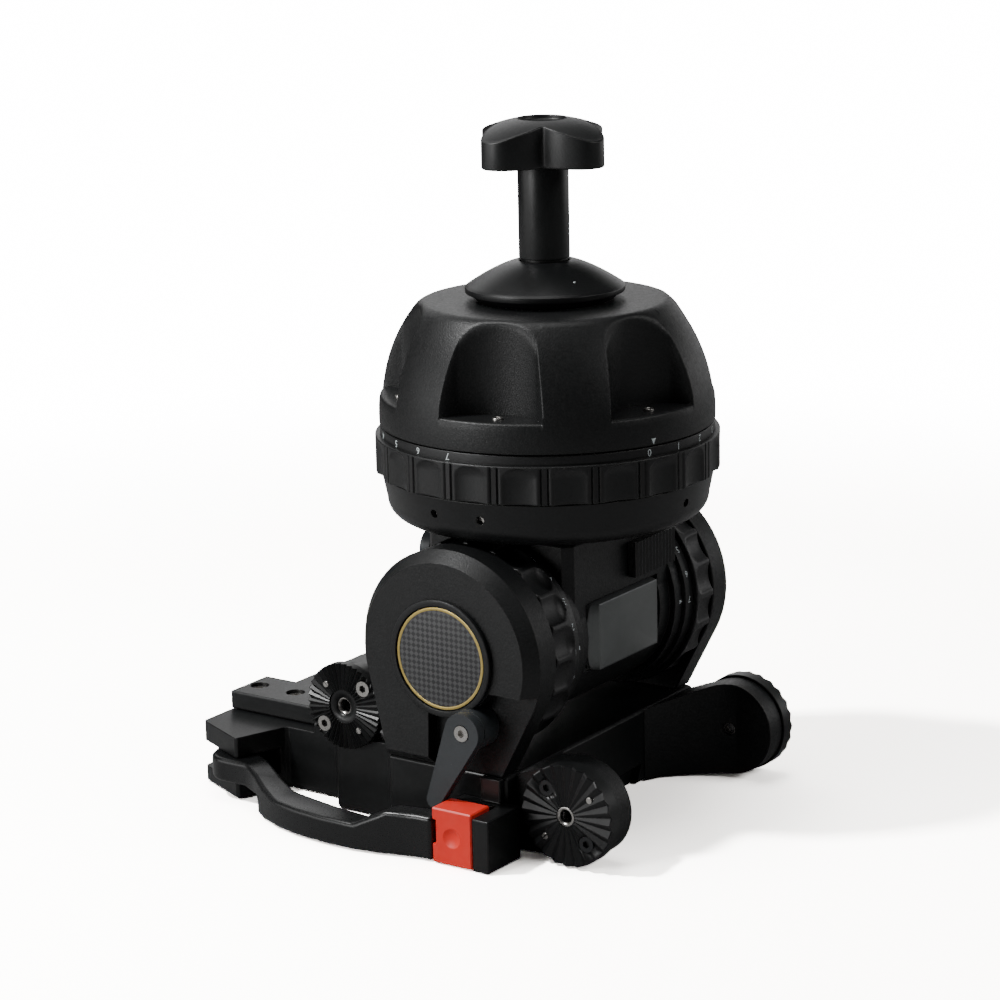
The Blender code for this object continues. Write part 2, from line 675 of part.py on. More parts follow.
def lever_plan():
    """The lever seen from above: its bow, closed round the pivot by the knuckle."""
    outer = []
    inner = []
    for along, out, width in BOW_SHARES:
        y = LEVER_PIVOT_Y + along * (LEVER_END_Y - LEVER_PIVOT_Y)
        x = LEVER_PIVOT_X - out * (LEVER_OUT + LEVER_PIVOT_X)
        outer.append((x, y))
        inner.append((x + width * LEVER_BAR_WIDTH, y))
    centre = (LEVER_PIVOT_X, LEVER_PIVOT_Y)
    return outer + inner[::-1] + arc(centre, LEVER_KNUCKLE_RADIUS, radians(-30), pi, 14)


def lever_side():
    """The lever seen along X: a knuckle between the ears, a low bar and a taller end."""
    floor = FRAME_FLOOR + SEAT_GAP
    bar = floor + LEVER_BAR_HEIGHT
    top = floor + LEVER_END_HEIGHT
    knuckle_floor = EAR_LOWER_TOP + RUN_GAP
    knuckle_top = EAR_UPPER_FLOOR - RUN_GAP

    def along(share):
        return LEVER_PIVOT_Y + share * (LEVER_END_Y - LEVER_PIVOT_Y)

    rear = LEVER_PIVOT_Y + LEVER_KNUCKLE_RADIUS + OVERRUN
    front = LEVER_END_Y - OVERRUN
    return [
        (rear, knuckle_floor),
        (rear, knuckle_top),
        (along(KNUCKLE_END_SHARE), knuckle_top),
        (along(BAR_START_SHARE), bar),
        (along(BAR_END_SHARE), bar),
        (along(END_START_SHARE), top),
        (front, top),
        (front, floor),
        (along(UNDERSIDE_STEP_SHARE), floor),
        (along(UNDERSIDE_STEP_SHARE), knuckle_floor),
    ]


def release_lever():
    """The bowed lever that turns on the pin, its end against the latch."""
    lever = slab("release_lever", lever_plan(), -OVERRUN, DECK_HEIGHT)
    keep_inside(lever, slab("lever_side", lever_side(), -LEVER_OUT - OVERRUN, 0, "X"))
    bore = LEVER_PIN_RADIUS + RUN_GAP
    start = (LEVER_PIVOT_X, LEVER_PIVOT_Y, 0)
    cut(lever, rod("lever_bore", bore, start, (*start[:2], TAIL_HEIGHT), 16))
    finish(set_origin(baked(lever), start), "black_paint")


def latch_centre():
    return (-LEVER_END_OUT, -LATCH_FRONT + LATCH_WIDTH / 2, FRAME_FLOOR + SEAT_GAP + LATCH_HEIGHT / 2)


def release_latch():
    """The red latch: a thumb dimple outside, and a notch in the edge beside the lever's end."""
    floor = FRAME_FLOOR + SEAT_GAP
    back = -LEVER_END_OUT + LATCH_DEPTH
    low = (-LEVER_END_OUT, -LATCH_FRONT, floor)
    latch = box("release_latch", low, (back, -LATCH_REAR, floor + LATCH_HEIGHT), DECK_BEVEL / 2)
    notch_low = (-LEVER_END_OUT - OVERRUN, -LATCH_REAR - LATCH_NOTCH_DEPTH, floor + LATCH_NOTCH_BASE)
    notch_high = (back + OVERRUN, -LATCH_REAR + OVERRUN, notch_low[2] + LATCH_NOTCH_HEIGHT)
    cut(latch, box("latch_notch", notch_low, notch_high))
    radius = (LATCH_DIMPLE_RADIUS**2 + LATCH_DIMPLE_DEPTH**2) / (2 * LATCH_DIMPLE_DEPTH)
    ball = bmesh.new()
    bmesh.ops.create_uvsphere(ball, u_segments=40, v_segments=28, radius=radius)
    dimple = from_bmesh("latch_dimple", ball)
    x, y, z = latch_centre()
    dimple.location = (x - radius + LATCH_DIMPLE_DEPTH, y, z)
    cut(latch, dimple)
    finish(latch, "red_anodised")
    start = (back + SEAT_GAP, y, z)
    end = (-WING_HALF_WIDTH - LATCH_TRAVEL - 2 * RUN_GAP, y, z)
    finish(rod("latch_stem", LATCH_STEM_RADIUS, start, end, 16), "steel")


def latch_housing():
    """The block behind and beside the latch, fixed to the deck's side."""
    inner = -WING_HALF_WIDTH - SEAT_GAP
    guard_rear = -LATCH_FRONT - RUN_GAP
    guard_front = guard_rear - LATCH_HOUSING_WALL
    top = FRAME_FLOOR + LATCH_HEIGHT - DECK_BEVEL
    back = -LEVER_END_OUT + LATCH_DEPTH + LATCH_TRAVEL + RUN_GAP
    outline = [
        (inner, -LATCH_REAR),
        (back, -LATCH_REAR),
        (back, guard_rear),
        (-LEVER_END_OUT, guard_rear),
        (-LEVER_END_OUT, guard_front),
        (inner, guard_front),
    ]
    housing = slab("latch_housing", outline, FRAME_FLOOR, top)
    lug_rear = guard_rear + LATCH_WIDTH / 2
    lug = box("arm_foot", (inner - ARM_COVER_DEPTH / 2, guard_rear, top - SEAT_GAP), (inner, lug_rear, DECK_HEIGHT))
    join(housing, lug)
    x, y, z = latch_centre()
    bore = LATCH_STEM_RADIUS + RUN_GAP
    cut(housing, rod("stem_bore", bore, (back - OVERRUN, y, z), (inner + OVERRUN, y, z), 16))
    finish(baked(housing), "black_anodised")


def tail_block():
    """The block on the tail, with a counterbore for each of its two screws."""
    floor = TAIL_HEIGHT + SEAT_GAP
    top = TAIL_HEIGHT + BLOCK_HEIGHT
    block = box("tail_block", (-BLOCK_OUTER, BLOCK_FRONT, floor), (-BLOCK_INNER, DECK_REAR, top), BLOCK_BEVEL)
    for number, place in enumerate(tail_screw_places(), 1):
        bore = (place[0], place[1], top - BLOCK_BORE_DEPTH)
        radius = BLOCK_SCREW_HEAD_RADIUS + SEAT_GAP
        cut(block, rod("block_bore", radius, bore, (place[0], place[1], top + OVERRUN), 20))
        head_low = (place[0], place[1], bore[2] + SEAT_GAP)
        head_high = (place[0], place[1], top - BLOCK_BORE_DEPTH / 3)
        head = rod(f"tail_block_screw_{number}", BLOCK_SCREW_HEAD_RADIUS, head_low, head_high, 20)
        finish(with_socket(head, head_high, (0, 0, 1), BLOCK_SCREW_HEAD_RADIUS), "steel")
    finish(block, "black_anodised")


def tail_screw_places():
    x = -(BLOCK_INNER + BLOCK_OUTER) / 2
    last = DECK_REAR - BLOCK_SCREW_FROM_REAR
    return [(x, last), (x, last - BLOCK_SCREW_PITCH)]


def with_socket(head, mouth, direction, radius):
    """Cut a hexagon socket into a screw's head."""
    mouth = Vector(mouth)
    direction = Vector(direction)
    width = radius / 2
    tool = rod("socket", width, mouth - direction * width, mouth + direction * OVERRUN, 6)
    return cut(head, tool)


def arm_outline():
    """An arm in side view: round about the tilt axis, with a foot on the deck."""
    centre = (0, TILT_AXIS_HEIGHT)
    front = (-ARM_FRONT_FOOT, ARM_FLOOR)
    rear = (ARM_REAR_FOOT, ARM_FLOOR)
    start = tangent_angle(centre, ARM_RADIUS, rear, 1)
    end = tangent_angle(centre, ARM_RADIUS, front, -1)
    if end < start:
        end += 2 * pi
    return [front, rear] + arc(centre, ARM_RADIUS, start, end, ARM_ARC_STEPS)


def cover_cutaway():
    """What the near arm's cover leaves open round the tilt lock, in side view."""
    centre = (0, TILT_AXIS_HEIGHT)
    rim = BADGE_BEZEL_RADIUS + SEAT_GAP * 2
    rear = LOCK_HUB_RADIUS
    below = -OVERRUN
    ring = arc(centre, rim, radians(-72), radians(-152), 10)
    outside = (-ARM_RADIUS - OVERRUN, ring[-1][1])
    return ring + [outside, (outside[0], below), (rear, below)]


def bezel_profile(is_open):
    """The rim round an arm's badge, open for a badge of its own, or with a plain disc in it."""
    top = ARM_FACE + BADGE_BEZEL_HEIGHT
    root = ARM_FACE - SEAT_GAP
    rim = [(BADGE_BEZEL_RADIUS - BADGE_RECESS, top), (BADGE_BEZEL_RADIUS, top - BADGE_RECESS), (BADGE_BEZEL_RADIUS, root)]
    if is_open:
        inner = BADGE_RADIUS + SEAT_GAP
        return [(inner, top)] + rim + [(inner, root)]
    disc = top - BADGE_RECESS
    return [(0, disc), (BADGE_RADIUS, disc), (BADGE_RADIUS, top)] + rim + [(0, root)]


def arm(name, side, with_lock):
    """One arm: its plate, a chamfered cover, a badge's bezel and the tilt shaft's seat."""
    made = slab(name, arm_outline(), ARM_INNER, ARM_OUTER, "X")
    shape = bmesh.new()
    shape.from_mesh(made.data)
    bmesh.ops.dissolve_limit(shape, angle_limit=radians(1), verts=shape.verts, edges=shape.edges)
    shape.faces.ensure_lookup_table()
    face = max(shape.faces, key=lambda f: f.calc_center_median().x)
    bmesh.ops.inset_region(shape, faces=[face], thickness=ARM_CHAMFER, depth=ARM_COVER_DEPTH)
    shape.to_mesh(made.data)
    shape.free()
    axis = (0, 0, TILT_AXIS_HEIGHT)
    join(made, turned("bezel", bezel_profile(with_lock), 36, "X", axis))
    seat_end = ARM_OUTER - ARM_THICKNESS / 4
    seat = TILT_SHAFT_RADIUS + SEAT_GAP
    cut(made, rod("shaft_seat", seat, (ARM_INNER - OVERRUN, 0, axis[2]), (seat_end, 0, axis[2]), 32))
    if with_lock:
        far = ARM_FACE + OVERRUN * 2
        cut(made, slab("cutaway", cover_cutaway(), ARM_OUTER - ARM_CUTAWAY_DEPTH, far, "X"))
        hub = LOCK_HUB_RADIUS + RUN_GAP
        cut(made, rod("lock_seat", hub, (ARM_OUTER, LOCK_Y, LOCK_Z), (far, LOCK_Y, LOCK_Z), 32))
    made = baked(made)
    if side < 0:
        mirror_across(made)
    finish(made, "black_paint")


def mirror_across(obj):
    """Turn a baked piece into its mirror image across X = 0."""
    shape = bmesh.new()
    shape.from_mesh(obj.data)
    bmesh.ops.scale(shape, vec=(-1, 1, 1), verts=shape.verts)
    bmesh.ops.recalc_face_normals(shape, faces=shape.faces)
    shape.to_mesh(obj.data)
    shape.free()
    return obj


def badge(name, side):
    start = side * (ARM_FACE + SEAT_GAP)
    end = side * (ARM_FACE + BADGE_THICKNESS)
    axis = TILT_AXIS_HEIGHT
    finish(rod(name, BADGE_RADIUS, (start, 0, axis), (end, 0, axis), 36), "badge_face")


def tilt_shaft():
    end = ARM_OUTER - ARM_THICKNESS / 4 - SEAT_GAP
    axis = TILT_AXIS_HEIGHT
    finish(rod("tilt_shaft", TILT_SHAFT_RADIUS, (-end, 0, axis), (end, 0, axis), 32), "steel")


def tilt_lock_lever():
    """The teardrop lever on its hub, turning about X."""
    base = -ARM_OUTER - SEAT_GAP
    hub_end = -ARM_FACE - LOCK_HUB_PROUD
    lever = rod("tilt_lock_lever", LOCK_HUB_RADIUS, (base, LOCK_Y, LOCK_Z), (hub_end, LOCK_Y, LOCK_Z), 32)
    head = (LOCK_Y, LOCK_Z)
    down = (sin(LOCK_LEVER_ANGLE), -cos(LOCK_LEVER_ANGLE))
    tip = (head[0] + down[0] * LOCK_LEVER_LENGTH, head[1] + down[1] * LOCK_LEVER_LENGTH)
    taper = asin((LOCK_LEVER_HEAD_RADIUS - LOCK_LEVER_TIP_RADIUS) / LOCK_LEVER_LENGTH)
    aim = atan2(down[1], down[0])
    quarter = pi / 2 - taper
    outline = arc(tip, LOCK_LEVER_TIP_RADIUS, aim - quarter, aim + quarter, 8)
    outline += arc(head, LOCK_LEVER_HEAD_RADIUS, aim + quarter, aim + 2 * pi - quarter, 20)
    face = hub_end - LOCK_LEVER_THICKNESS
    plate = slab("lock_plate", outline, face, hub_end + SEAT_GAP, "X")
    join(lever, plate)
    seat = LOCK_SCREW_RADIUS + SEAT_GAP
    low = (face + LOCK_SCREW_DEPTH, LOCK_Y, LOCK_Z)
    cut(lever, rod("lock_screw_seat", seat, low, (face - OVERRUN, LOCK_Y, LOCK_Z), 20))
    finish(set_origin(baked(lever), (base, LOCK_Y, LOCK_Z)), "grey_lever")
    start = (face + LOCK_SCREW_DEPTH - SEAT_GAP, LOCK_Y, LOCK_Z)
    mouth = (face - SEAT_GAP, LOCK_Y, LOCK_Z)
    screw = with_socket(rod("tilt_lock_screw", LOCK_SCREW_RADIUS, start, mouth, 20), mouth, (-1, 0, 0), LOCK_SCREW_RADIUS)
    finish(screw, "steel")


def rosette(name, side, centre, radius, out, thickness, teeth, screw_turns):
    """A toothed disc facing away from the head: ridges and grooves run to its centre."""
    floor = out - thickness
    depth = ROSETTE_TOOTH_DEPTH
    profile = [
        (ROSETTE_THREAD_RADIUS, out),
        (radius, out),
        (radius, floor),
        (ROSETTE_THREAD_RADIUS, floor),
    ]
    disc = baked(turned(name, profile, teeth * 2))
    step = pi / teeth
    for vertex in disc.data.vertices:
        reach = hypot(vertex.co.x, vertex.co.y)
        if reach > radius - depth / 2 and vertex.co.z > floor + depth / 4:
            if round(atan2(vertex.co.y, vertex.co.x) / step) % 2:
                vertex.co.z -= depth
    disc.data.transform(Matrix.Rotation(side * pi / 2, 4, "Y"))
    disc.data.transform(Matrix.Translation((0, centre[0], centre[1])))
    for number, place in enumerate(rosette_places(centre, screw_turns), 1):
        end = side * (out + OVERRUN)
        seat = (side * (out - ROSETTE_SCREW_DEPTH), *place)
        cut(disc, rod("rosette_bore", ROSETTE_SCREW_RADIUS + SEAT_GAP, seat, (end, *place), 16))
        low = side * (out - ROSETTE_SCREW_DEPTH + SEAT_GAP)
        mouth = (side * (out - ROSETTE_SCREW_DEPTH / 4), *place)
        head = rod(f"{name}_screw_{number}", ROSETTE_SCREW_RADIUS, (low, *place), mouth, 16)
        finish(with_socket(head, mouth, (side, 0, 0), ROSETTE_SCREW_RADIUS), "steel")
    finish(disc, "black_anodised", radians(12))


def rosette_places(centre, screw_turns):
    """The two screws' places on a rosette."""
    places = []
    for turn in screw_turns:
        places.append((centre[0] - ROSETTE_SCREW_CIRCLE * cos(turn), centre[1] + ROSETTE_SCREW_CIRCLE * sin(turn)))
    return places


def rosettes(side, word):
    """A front and a rear toothed disc on one side."""
    rosette(
        f"front_rosette_{word}",
        side,
        FRONT_ROSETTE,
        FRONT_ROSETTE_RADIUS,
        FRONT_ROSETTE_OUT,
        FRONT_ROSETTE_THICKNESS,
        FRONT_ROSETTE_TEETH,
        FRONT_ROSETTE_SCREW_TURNS,
    )
    rosette(
        f"rear_rosette_{word}",
        side,
        REAR_ROSETTE,
        REAR_ROSETTE_RADIUS,
        REAR_ROSETTE_OUT,
        REAR_ROSETTE_THICKNESS,
        REAR_ROSETTE_TEETH,
        REAR_ROSETTE_SCREW_TURNS,
    )


# The sweep of a front bracket's inner side: how far outwards, and how far forwards
SWEEP_SHARES = ((0, 0), (0.30, 0.12), (0.55, 0.33), (0.75, 0.55), (0.90, 0.78), (1, 1))


def front_bracket(name, side):
    """The horn that carries a front rosette, its inner side swept into the deck's front."""
    centre = FRONT_ROSETTE
    hub = FRONT_ROSETTE_RADIUS - FRONT_BRACKET_HUB_INSET
    wall = -DECK_FRONT - SEAT_GAP
    floor = FRAME_FLOOR
    width = FRONT_BRACKET_INNER - FRONT_BRACKET_ROOT
    length = FRONT_BRACKET_SWEEP
    plan = [(FRONT_BRACKET_OUTER, wall)]
    plan += [(FRONT_BRACKET_ROOT + out * width, wall - ahead * length) for out, ahead in SWEEP_SHARES]
    beyond = -FRONT_ROSETTE_FORWARD - FRONT_ROSETTE_RADIUS - OVERRUN
    plan += [(FRONT_BRACKET_INNER, beyond), (FRONT_BRACKET_OUTER, beyond)]
    made = slab(name, plan, floor - OVERRUN, DECK_HEIGHT + FRONT_ROSETTE_RADIUS)
    top = tangent_angle(centre, hub, (wall, DECK_HEIGHT), 1)
    bottom = tangent_angle(centre, hub, (wall, floor), -1)
    if bottom < top:
        bottom += 2 * pi
    side_view = [(wall, floor), (wall, DECK_HEIGHT)] + arc(centre, hub, top, bottom, 24)
    keep_inside(made, slab("bracket_side", side_view, 0, FRONT_BRACKET_OUTER + OVERRUN, "X"))
    bore = (FRONT_BRACKET_INNER - OVERRUN, *centre)
    cut(made, rod("bracket_bore", ROSETTE_THREAD_RADIUS, bore, (FRONT_BRACKET_OUTER + OVERRUN, *centre), 16))
    made = baked(made)
    if side < 0:
        mirror_across(made)
    finish(made, "black_paint")


def rear_bracket(name, side):
    """The upright on the deck's waist with the round boss of a rear rosette."""
    inner = REAR_BRACKET_INNER
    outer = REAR_BRACKET_OUTER
    low = (inner, REAR_BRACKET_FRONT, FRAME_FLOOR)
    made = box(name, low, (outer, REAR_BRACKET_REAR, REAR_BRACKET_TOP), DECK_BEVEL)
    boss = rod("rear_boss", REAR_BOSS_RADIUS, (inner, *REAR_ROSETTE), (outer, *REAR_ROSETTE), 32)
    join(made, boss)
    bore = rod("boss_bore", ROSETTE_THREAD_RADIUS, (inner - OVERRUN, *REAR_ROSETTE), (outer + OVERRUN, *REAR_ROSETTE), 16)
    cut(made, bore)
    made = baked(made)
    if side < 0:
        mirror_across(made)
    finish(made, "black_anodised")


def scalloped(obj, count, depth, low, high, radius):
    """Press shallow scallops into a turned grip between two heights."""
    for vertex in obj.data.vertices:
        reach = hypot(vertex.co.x, vertex.co.y)
        if low < vertex.co.z < high and reach > radius - depth / 2:
            wave = (1 - cos(count * atan2(vertex.co.y, vertex.co.x))) / 2
            scale = 1 - depth * wave / reach
            vertex.co.x *= scale
            vertex.co.y *= scale
    return obj


def tilt_ring(name, side):
    """A dial ring between the housing and an arm: a number band, then a scalloped grip."""
    grip = RING_BAND_WIDTH
    width = RING_BAND_WIDTH + RING_GRIP_WIDTH
    inner = RING_BORE_RADIUS
    edge = RING_SCALLOP_DEPTH / 2
    profile = [
        (inner, width),
        (RING_RADIUS - edge, width),
        (RING_RADIUS, width - edge),
        (RING_RADIUS, grip + edge),
        (RING_BAND_RADIUS, grip),
        (RING_BAND_RADIUS, 0),
        (inner, 0),
    ]
    ring = baked(turned(name, profile, RING_SCALLOPS * 2))
    scalloped(ring, RING_SCALLOPS, RING_SCALLOP_DEPTH, grip, width, RING_RADIUS)
    ring.data.transform(Matrix.Rotation(side * pi / 2, 4, "Y"))
    ring.data.transform(Matrix.Translation((side * RING_INNER, 0, TILT_AXIS_HEIGHT)))
    finish(set_origin(ring, (0, 0, TILT_AXIS_HEIGHT)), "black_plastic", radians(24))


def ring_hub(name, side):
    """The drum on the shaft that a dial ring turns on, fixed to the arm."""
    inner = RING_BORE_RADIUS - RUN_GAP
    profile = [
        (TILT_SHAFT_RADIUS + SEAT_GAP, ARM_INNER - SEAT_GAP),
        (inner, ARM_INNER - SEAT_GAP),
        (inner, RING_INNER),
        (TILT_SHAFT_RADIUS + SEAT_GAP, RING_INNER),
    ]
    finish(on_tilt_axis(turned(name, profile, 40), side), "black_plastic")


def tilt_housing():
    """The barrel on the tilt axis, and the neck that carries the pan base."""
    half = HOUSING_HALF_WIDTH
    flange = half - BARREL_FLANGE_WIDTH
    profile = [
        (0, half),
        (BARREL_FLANGE_RADIUS, half),
        (BARREL_FLANGE_RADIUS, flange),
        (BARREL_RADIUS, flange),
        (BARREL_RADIUS, -flange),
        (BARREL_FLANGE_RADIUS, -flange),
        (BARREL_FLANGE_RADIUS, -half),
        (0, -half),
    ]
    axis = (0, 0, TILT_AXIS_HEIGHT)
    housing = turned("tilt_housing", profile, 36, "X", axis)
    neck_low = (-NECK_HALF_WIDTH, -NECK_HALF_DEPTH, TILT_AXIS_HEIGHT)
    neck_high = (NECK_HALF_WIDTH, NECK_HALF_DEPTH, BASE_FLOOR - SEAT_GAP)
    join(housing, baked(box("neck", neck_low, neck_high, NECK_BEVEL)))
    recess = PAD_REACH - PAD_THICKNESS
    depth = (-recess, -PAD_REACH)
    low = (-PAD_HALF_WIDTH - PAD_CHAMFER - RUN_GAP, depth[1] - OVERRUN, axis[2] - PAD_HALF_HEIGHT - RUN_GAP)
    high = (PAD_HALF_WIDTH + PAD_CHAMFER + RUN_GAP, depth[0], axis[2] + PAD_HALF_HEIGHT + RUN_GAP)
    cut(housing, box("pad_recess", low, high))
    bearing = TILT_SHAFT_RADIUS + BEARING_WALL + SEAT_GAP
    shelf = half - BEARING_WIDTH - SEAT_GAP
    web = CHAMBER_WEB / 2
    shaft = TILT_SHAFT_RADIUS + RUN_GAP
    lip = TILT_SHAFT_RADIUS + BEARING_WALL / 2
    inside = [
        (0, half + OVERRUN),
        (bearing, half + OVERRUN),
        (bearing, shelf),
        (lip, shelf),
        (lip, shelf - BARREL_FLANGE_WIDTH / 2),
        (CHAMBER_RADIUS, shelf - BARREL_FLANGE_WIDTH / 2),
        (CHAMBER_RADIUS, web),
        (shaft, web),
    ]
    inside += [(radius, -height) for radius, height in inside[::-1]]
    cut(housing, turned("housing_bore", inside, 24, "X", axis))
    finish(set_origin(baked(housing), axis), "black_paint")


def housing_pad():
    """The smooth grey pad on the front of the barrel, its four sides chamfered."""
    back = -(PAD_REACH - PAD_THICKNESS) - SEAT_GAP
    low = (-PAD_HALF_WIDTH - PAD_CHAMFER, back - PAD_THICKNESS / 3, TILT_AXIS_HEIGHT - PAD_HALF_HEIGHT)
    high = (PAD_HALF_WIDTH + PAD_CHAMFER, back, TILT_AXIS_HEIGHT + PAD_HALF_HEIGHT)
    pad = baked(box("housing_pad", low, high))
    shape = bmesh.new()
    shape.from_mesh(pad.data)
    face = min(shape.faces, key=lambda f: f.calc_center_median().y)
    made = bmesh.ops.extrude_discrete_faces(shape, faces=[face])["faces"][0]
    for vertex in made.verts:
        vertex.co.y = -PAD_REACH
        vertex.co.x *= PAD_HALF_WIDTH / (PAD_HALF_WIDTH + PAD_CHAMFER)
    shape.to_mesh(pad.data)
    shape.free()
    round_edges(pad, BLOCK_BEVEL)
    finish(pad, "grey_pad")


def ribbed_cover():
    """The ribbed cover on the neck's front, over the lamp of the level."""
    back = -NECK_HALF_DEPTH - SEAT_GAP
    front = back - RIB_COVER_THICKNESS
    pitch = RIB_COVER_WIDTH / (2 * RIB_COUNT)
    outline = [(RIB_COVER_LEFT, back)]
    for i in range(2 * RIB_COUNT + 1):
        outline.append((RIB_COVER_LEFT + i * pitch, front + (i % 2) * RIB_DEPTH))
    outline.append((RIB_COVER_LEFT + RIB_COVER_WIDTH, back))
    low = TILT_AXIS_HEIGHT + RIB_COVER_ABOVE
    finish(slab("ribbed_cover", outline, low, low + RIB_COVER_HEIGHT), "black_plastic", radians(20))


def on_tilt_axis(made, side):
    """Lay a piece turned about Z along the tilt axis, its upper end outwards."""
    made = baked(made)
    made.data.transform(Matrix.Rotation(side * pi / 2, 4, "Y"))
    made.data.transform(Matrix.Translation((0, 0, TILT_AXIS_HEIGHT)))
    return made


def tilt_bearing(name, side):
    """A bearing round the shaft, in the end of the housing."""
    outer = TILT_SHAFT_RADIUS + BEARING_WALL
    inner = TILT_SHAFT_RADIUS + SEAT_GAP
    high = HOUSING_HALF_WIDTH - SEAT_GAP
    low = HOUSING_HALF_WIDTH - BEARING_WIDTH
    profile = [(inner, high), (outer, high), (outer, low), (inner, low)]
    finish(on_tilt_axis(turned(name, profile, 28), side), "steel")


def grooved(inner, outer, low, high, count, depth):
    """The profile of a stack of plates made as one solid, grooves between the plates."""
    pitch = (high - low) / count
    profile = [(inner, high)]
    for i in range(count):
        top = high - i * pitch
        bottom = top - pitch
        profile += [(outer, top), (outer, bottom + pitch / 4)]
        if i < count - 1:
            profile += [(outer - depth, bottom + pitch / 4), (outer - depth, bottom)]
    profile += [(outer, low), (inner, low)]
    return profile


def chamber_pack(name, side, count, finish_name):
    """Round plates side by side in one of the housing's two chambers."""
    low = CHAMBER_WEB / 2 + SEAT_GAP
    high = HOUSING_HALF_WIDTH - BEARING_WIDTH - BARREL_FLANGE_WIDTH / 2 - 2 * SEAT_GAP
    inner = TILT_SHAFT_RADIUS + SEAT_GAP
    profile = grooved(inner, CHAMBER_RADIUS - RUN_GAP, low, high, count, CHAMBER_WEB / 2)
    finish(on_tilt_axis(turned(name, profile, 24), side), finish_name)


def pan_base():
    """The turned base above the housing, with three set-screw holes round its wall."""
    wall = BASE_FLOOR_RADIUS
    inner = PAN_SHAFT_RADIUS + SEAT_GAP
    round_steps = 3
    corner = [
        (
            wall + (BASE_LOW_RADIUS - wall) * sin(pi / 2 * i / round_steps),
            BASE_FLOOR + BASE_ROUND * (1 - cos(pi / 2 * i / round_steps)),
        )
        for i in range(round_steps + 1)
    ]
    profile = [(inner, BASE_TOP), (BASE_TOP_RADIUS, BASE_TOP)] + corner[::-1] + [(inner, BASE_FLOOR)]
    base = turned("pan_base", profile, 42)
    height = BASE_FLOOR + SET_SCREW_HEIGHT
    for number, azimuth in enumerate(SET_SCREW_AZIMUTHS, 1):
        outer = polar(BASE_TOP_RADIUS + OVERRUN, azimuth, height)
        bottom = polar(BASE_LOW_RADIUS - SET_SCREW_DEPTH, azimuth, height)
        cut(base, rod("set_screw_hole", SET_SCREW_RADIUS, bottom, outer, 12))
        screw_bottom = polar(BASE_LOW_RADIUS - SET_SCREW_DEPTH + SEAT_GAP, azimuth, height)
        screw_top = polar(BASE_LOW_RADIUS - SET_SCREW_DEPTH / 2, azimuth, height)
        screw = rod(f"base_set_screw_{number}", SET_SCREW_RADIUS - SEAT_GAP, screw_bottom, screw_top, 12)
        finish(screw, "steel")
    finish(base, "black_anodised")


def pan_shaft():
    """The post that stands in the base and carries the half ball."""
    low = (0, 0, BASE_FLOOR + SEAT_GAP)
    high = (0, 0, BALL_FLOOR + PAN_SHAFT_RISE)
    finish(rod("pan_shaft", PAN_SHAFT_RADIUS, low, high, 32), "steel")


def pan_drag_discs():
    """The drag's plates between the base and the half ball, inside the pan ring."""
    inner = PAN_SHAFT_RADIUS + SEAT_GAP
    outer = PAN_RING_RADIUS - PAN_RING_WALL - RUN_GAP
    profile = grooved(inner, outer, BASE_TOP + SEAT_GAP, BALL_FLOOR - SEAT_GAP, 2, PAN_RING_WALL / 4)
    finish(turned("pan_drag_discs", profile, 28), "friction_disc")


def pan_bearing():
    """Round the pan shaft, inside the half ball's hub."""
    low = BALL_FLOOR + SEAT_GAP
    high = BALL_FLOOR + PAN_SHAFT_RISE
    inner = PAN_SHAFT_RADIUS + SEAT_GAP
    outer = PAN_SHAFT_RADIUS + BEARING_WALL
    profile = [(inner, high), (outer, high), (outer, low), (inner, low)]
    finish(turned("pan_bearing", profile, 36), "steel")


def pan_drag_ring():
    """The ring under the ball that sets the pan drag: a number band over a scalloped grip."""
    edge = PAN_RING_SCALLOP_DEPTH / 2
    inner = PAN_RING_RADIUS - PAN_RING_WALL
    profile = [
        (inner, PAN_RING_TOP),
        (PAN_RING_BAND_RADIUS, PAN_RING_TOP),
        (PAN_RING_BAND_RADIUS, PAN_RING_SHOULDER),
        (PAN_RING_RADIUS, PAN_RING_SHOULDER - edge),
        (PAN_RING_RADIUS, PAN_RING_FLOOR + edge),
        (PAN_RING_RADIUS - edge, PAN_RING_FLOOR),
        (inner, PAN_RING_FLOOR),
    ]
    ring = baked(turned("pan_drag_ring", profile, PAN_RING_SCALLOPS * 2))
    scalloped(ring, PAN_RING_SCALLOPS, PAN_RING_SCALLOP_DEPTH, PAN_RING_FLOOR - edge, PAN_RING_SHOULDER, PAN_RING_RADIUS)
    finish(ring, "black_plastic", radians(24))


def pocket_outline():
    """A pocket in plan, on +X: a half-elliptic back, and straight sides that run out of the ball."""
    outline = []
    for x, y in arc((0, 0), 1, pi / 2, 3 * pi / 2, 8):
        outline.append((POCKET_CENTRE + POCKET_DEPTH * x, POCKET_HALF_WIDTH * y))
    outside = BALL_RADIUS + OVERRUN
    return outline + [(outside, -POCKET_HALF_WIDTH), (outside, POCKET_HALF_WIDTH)]


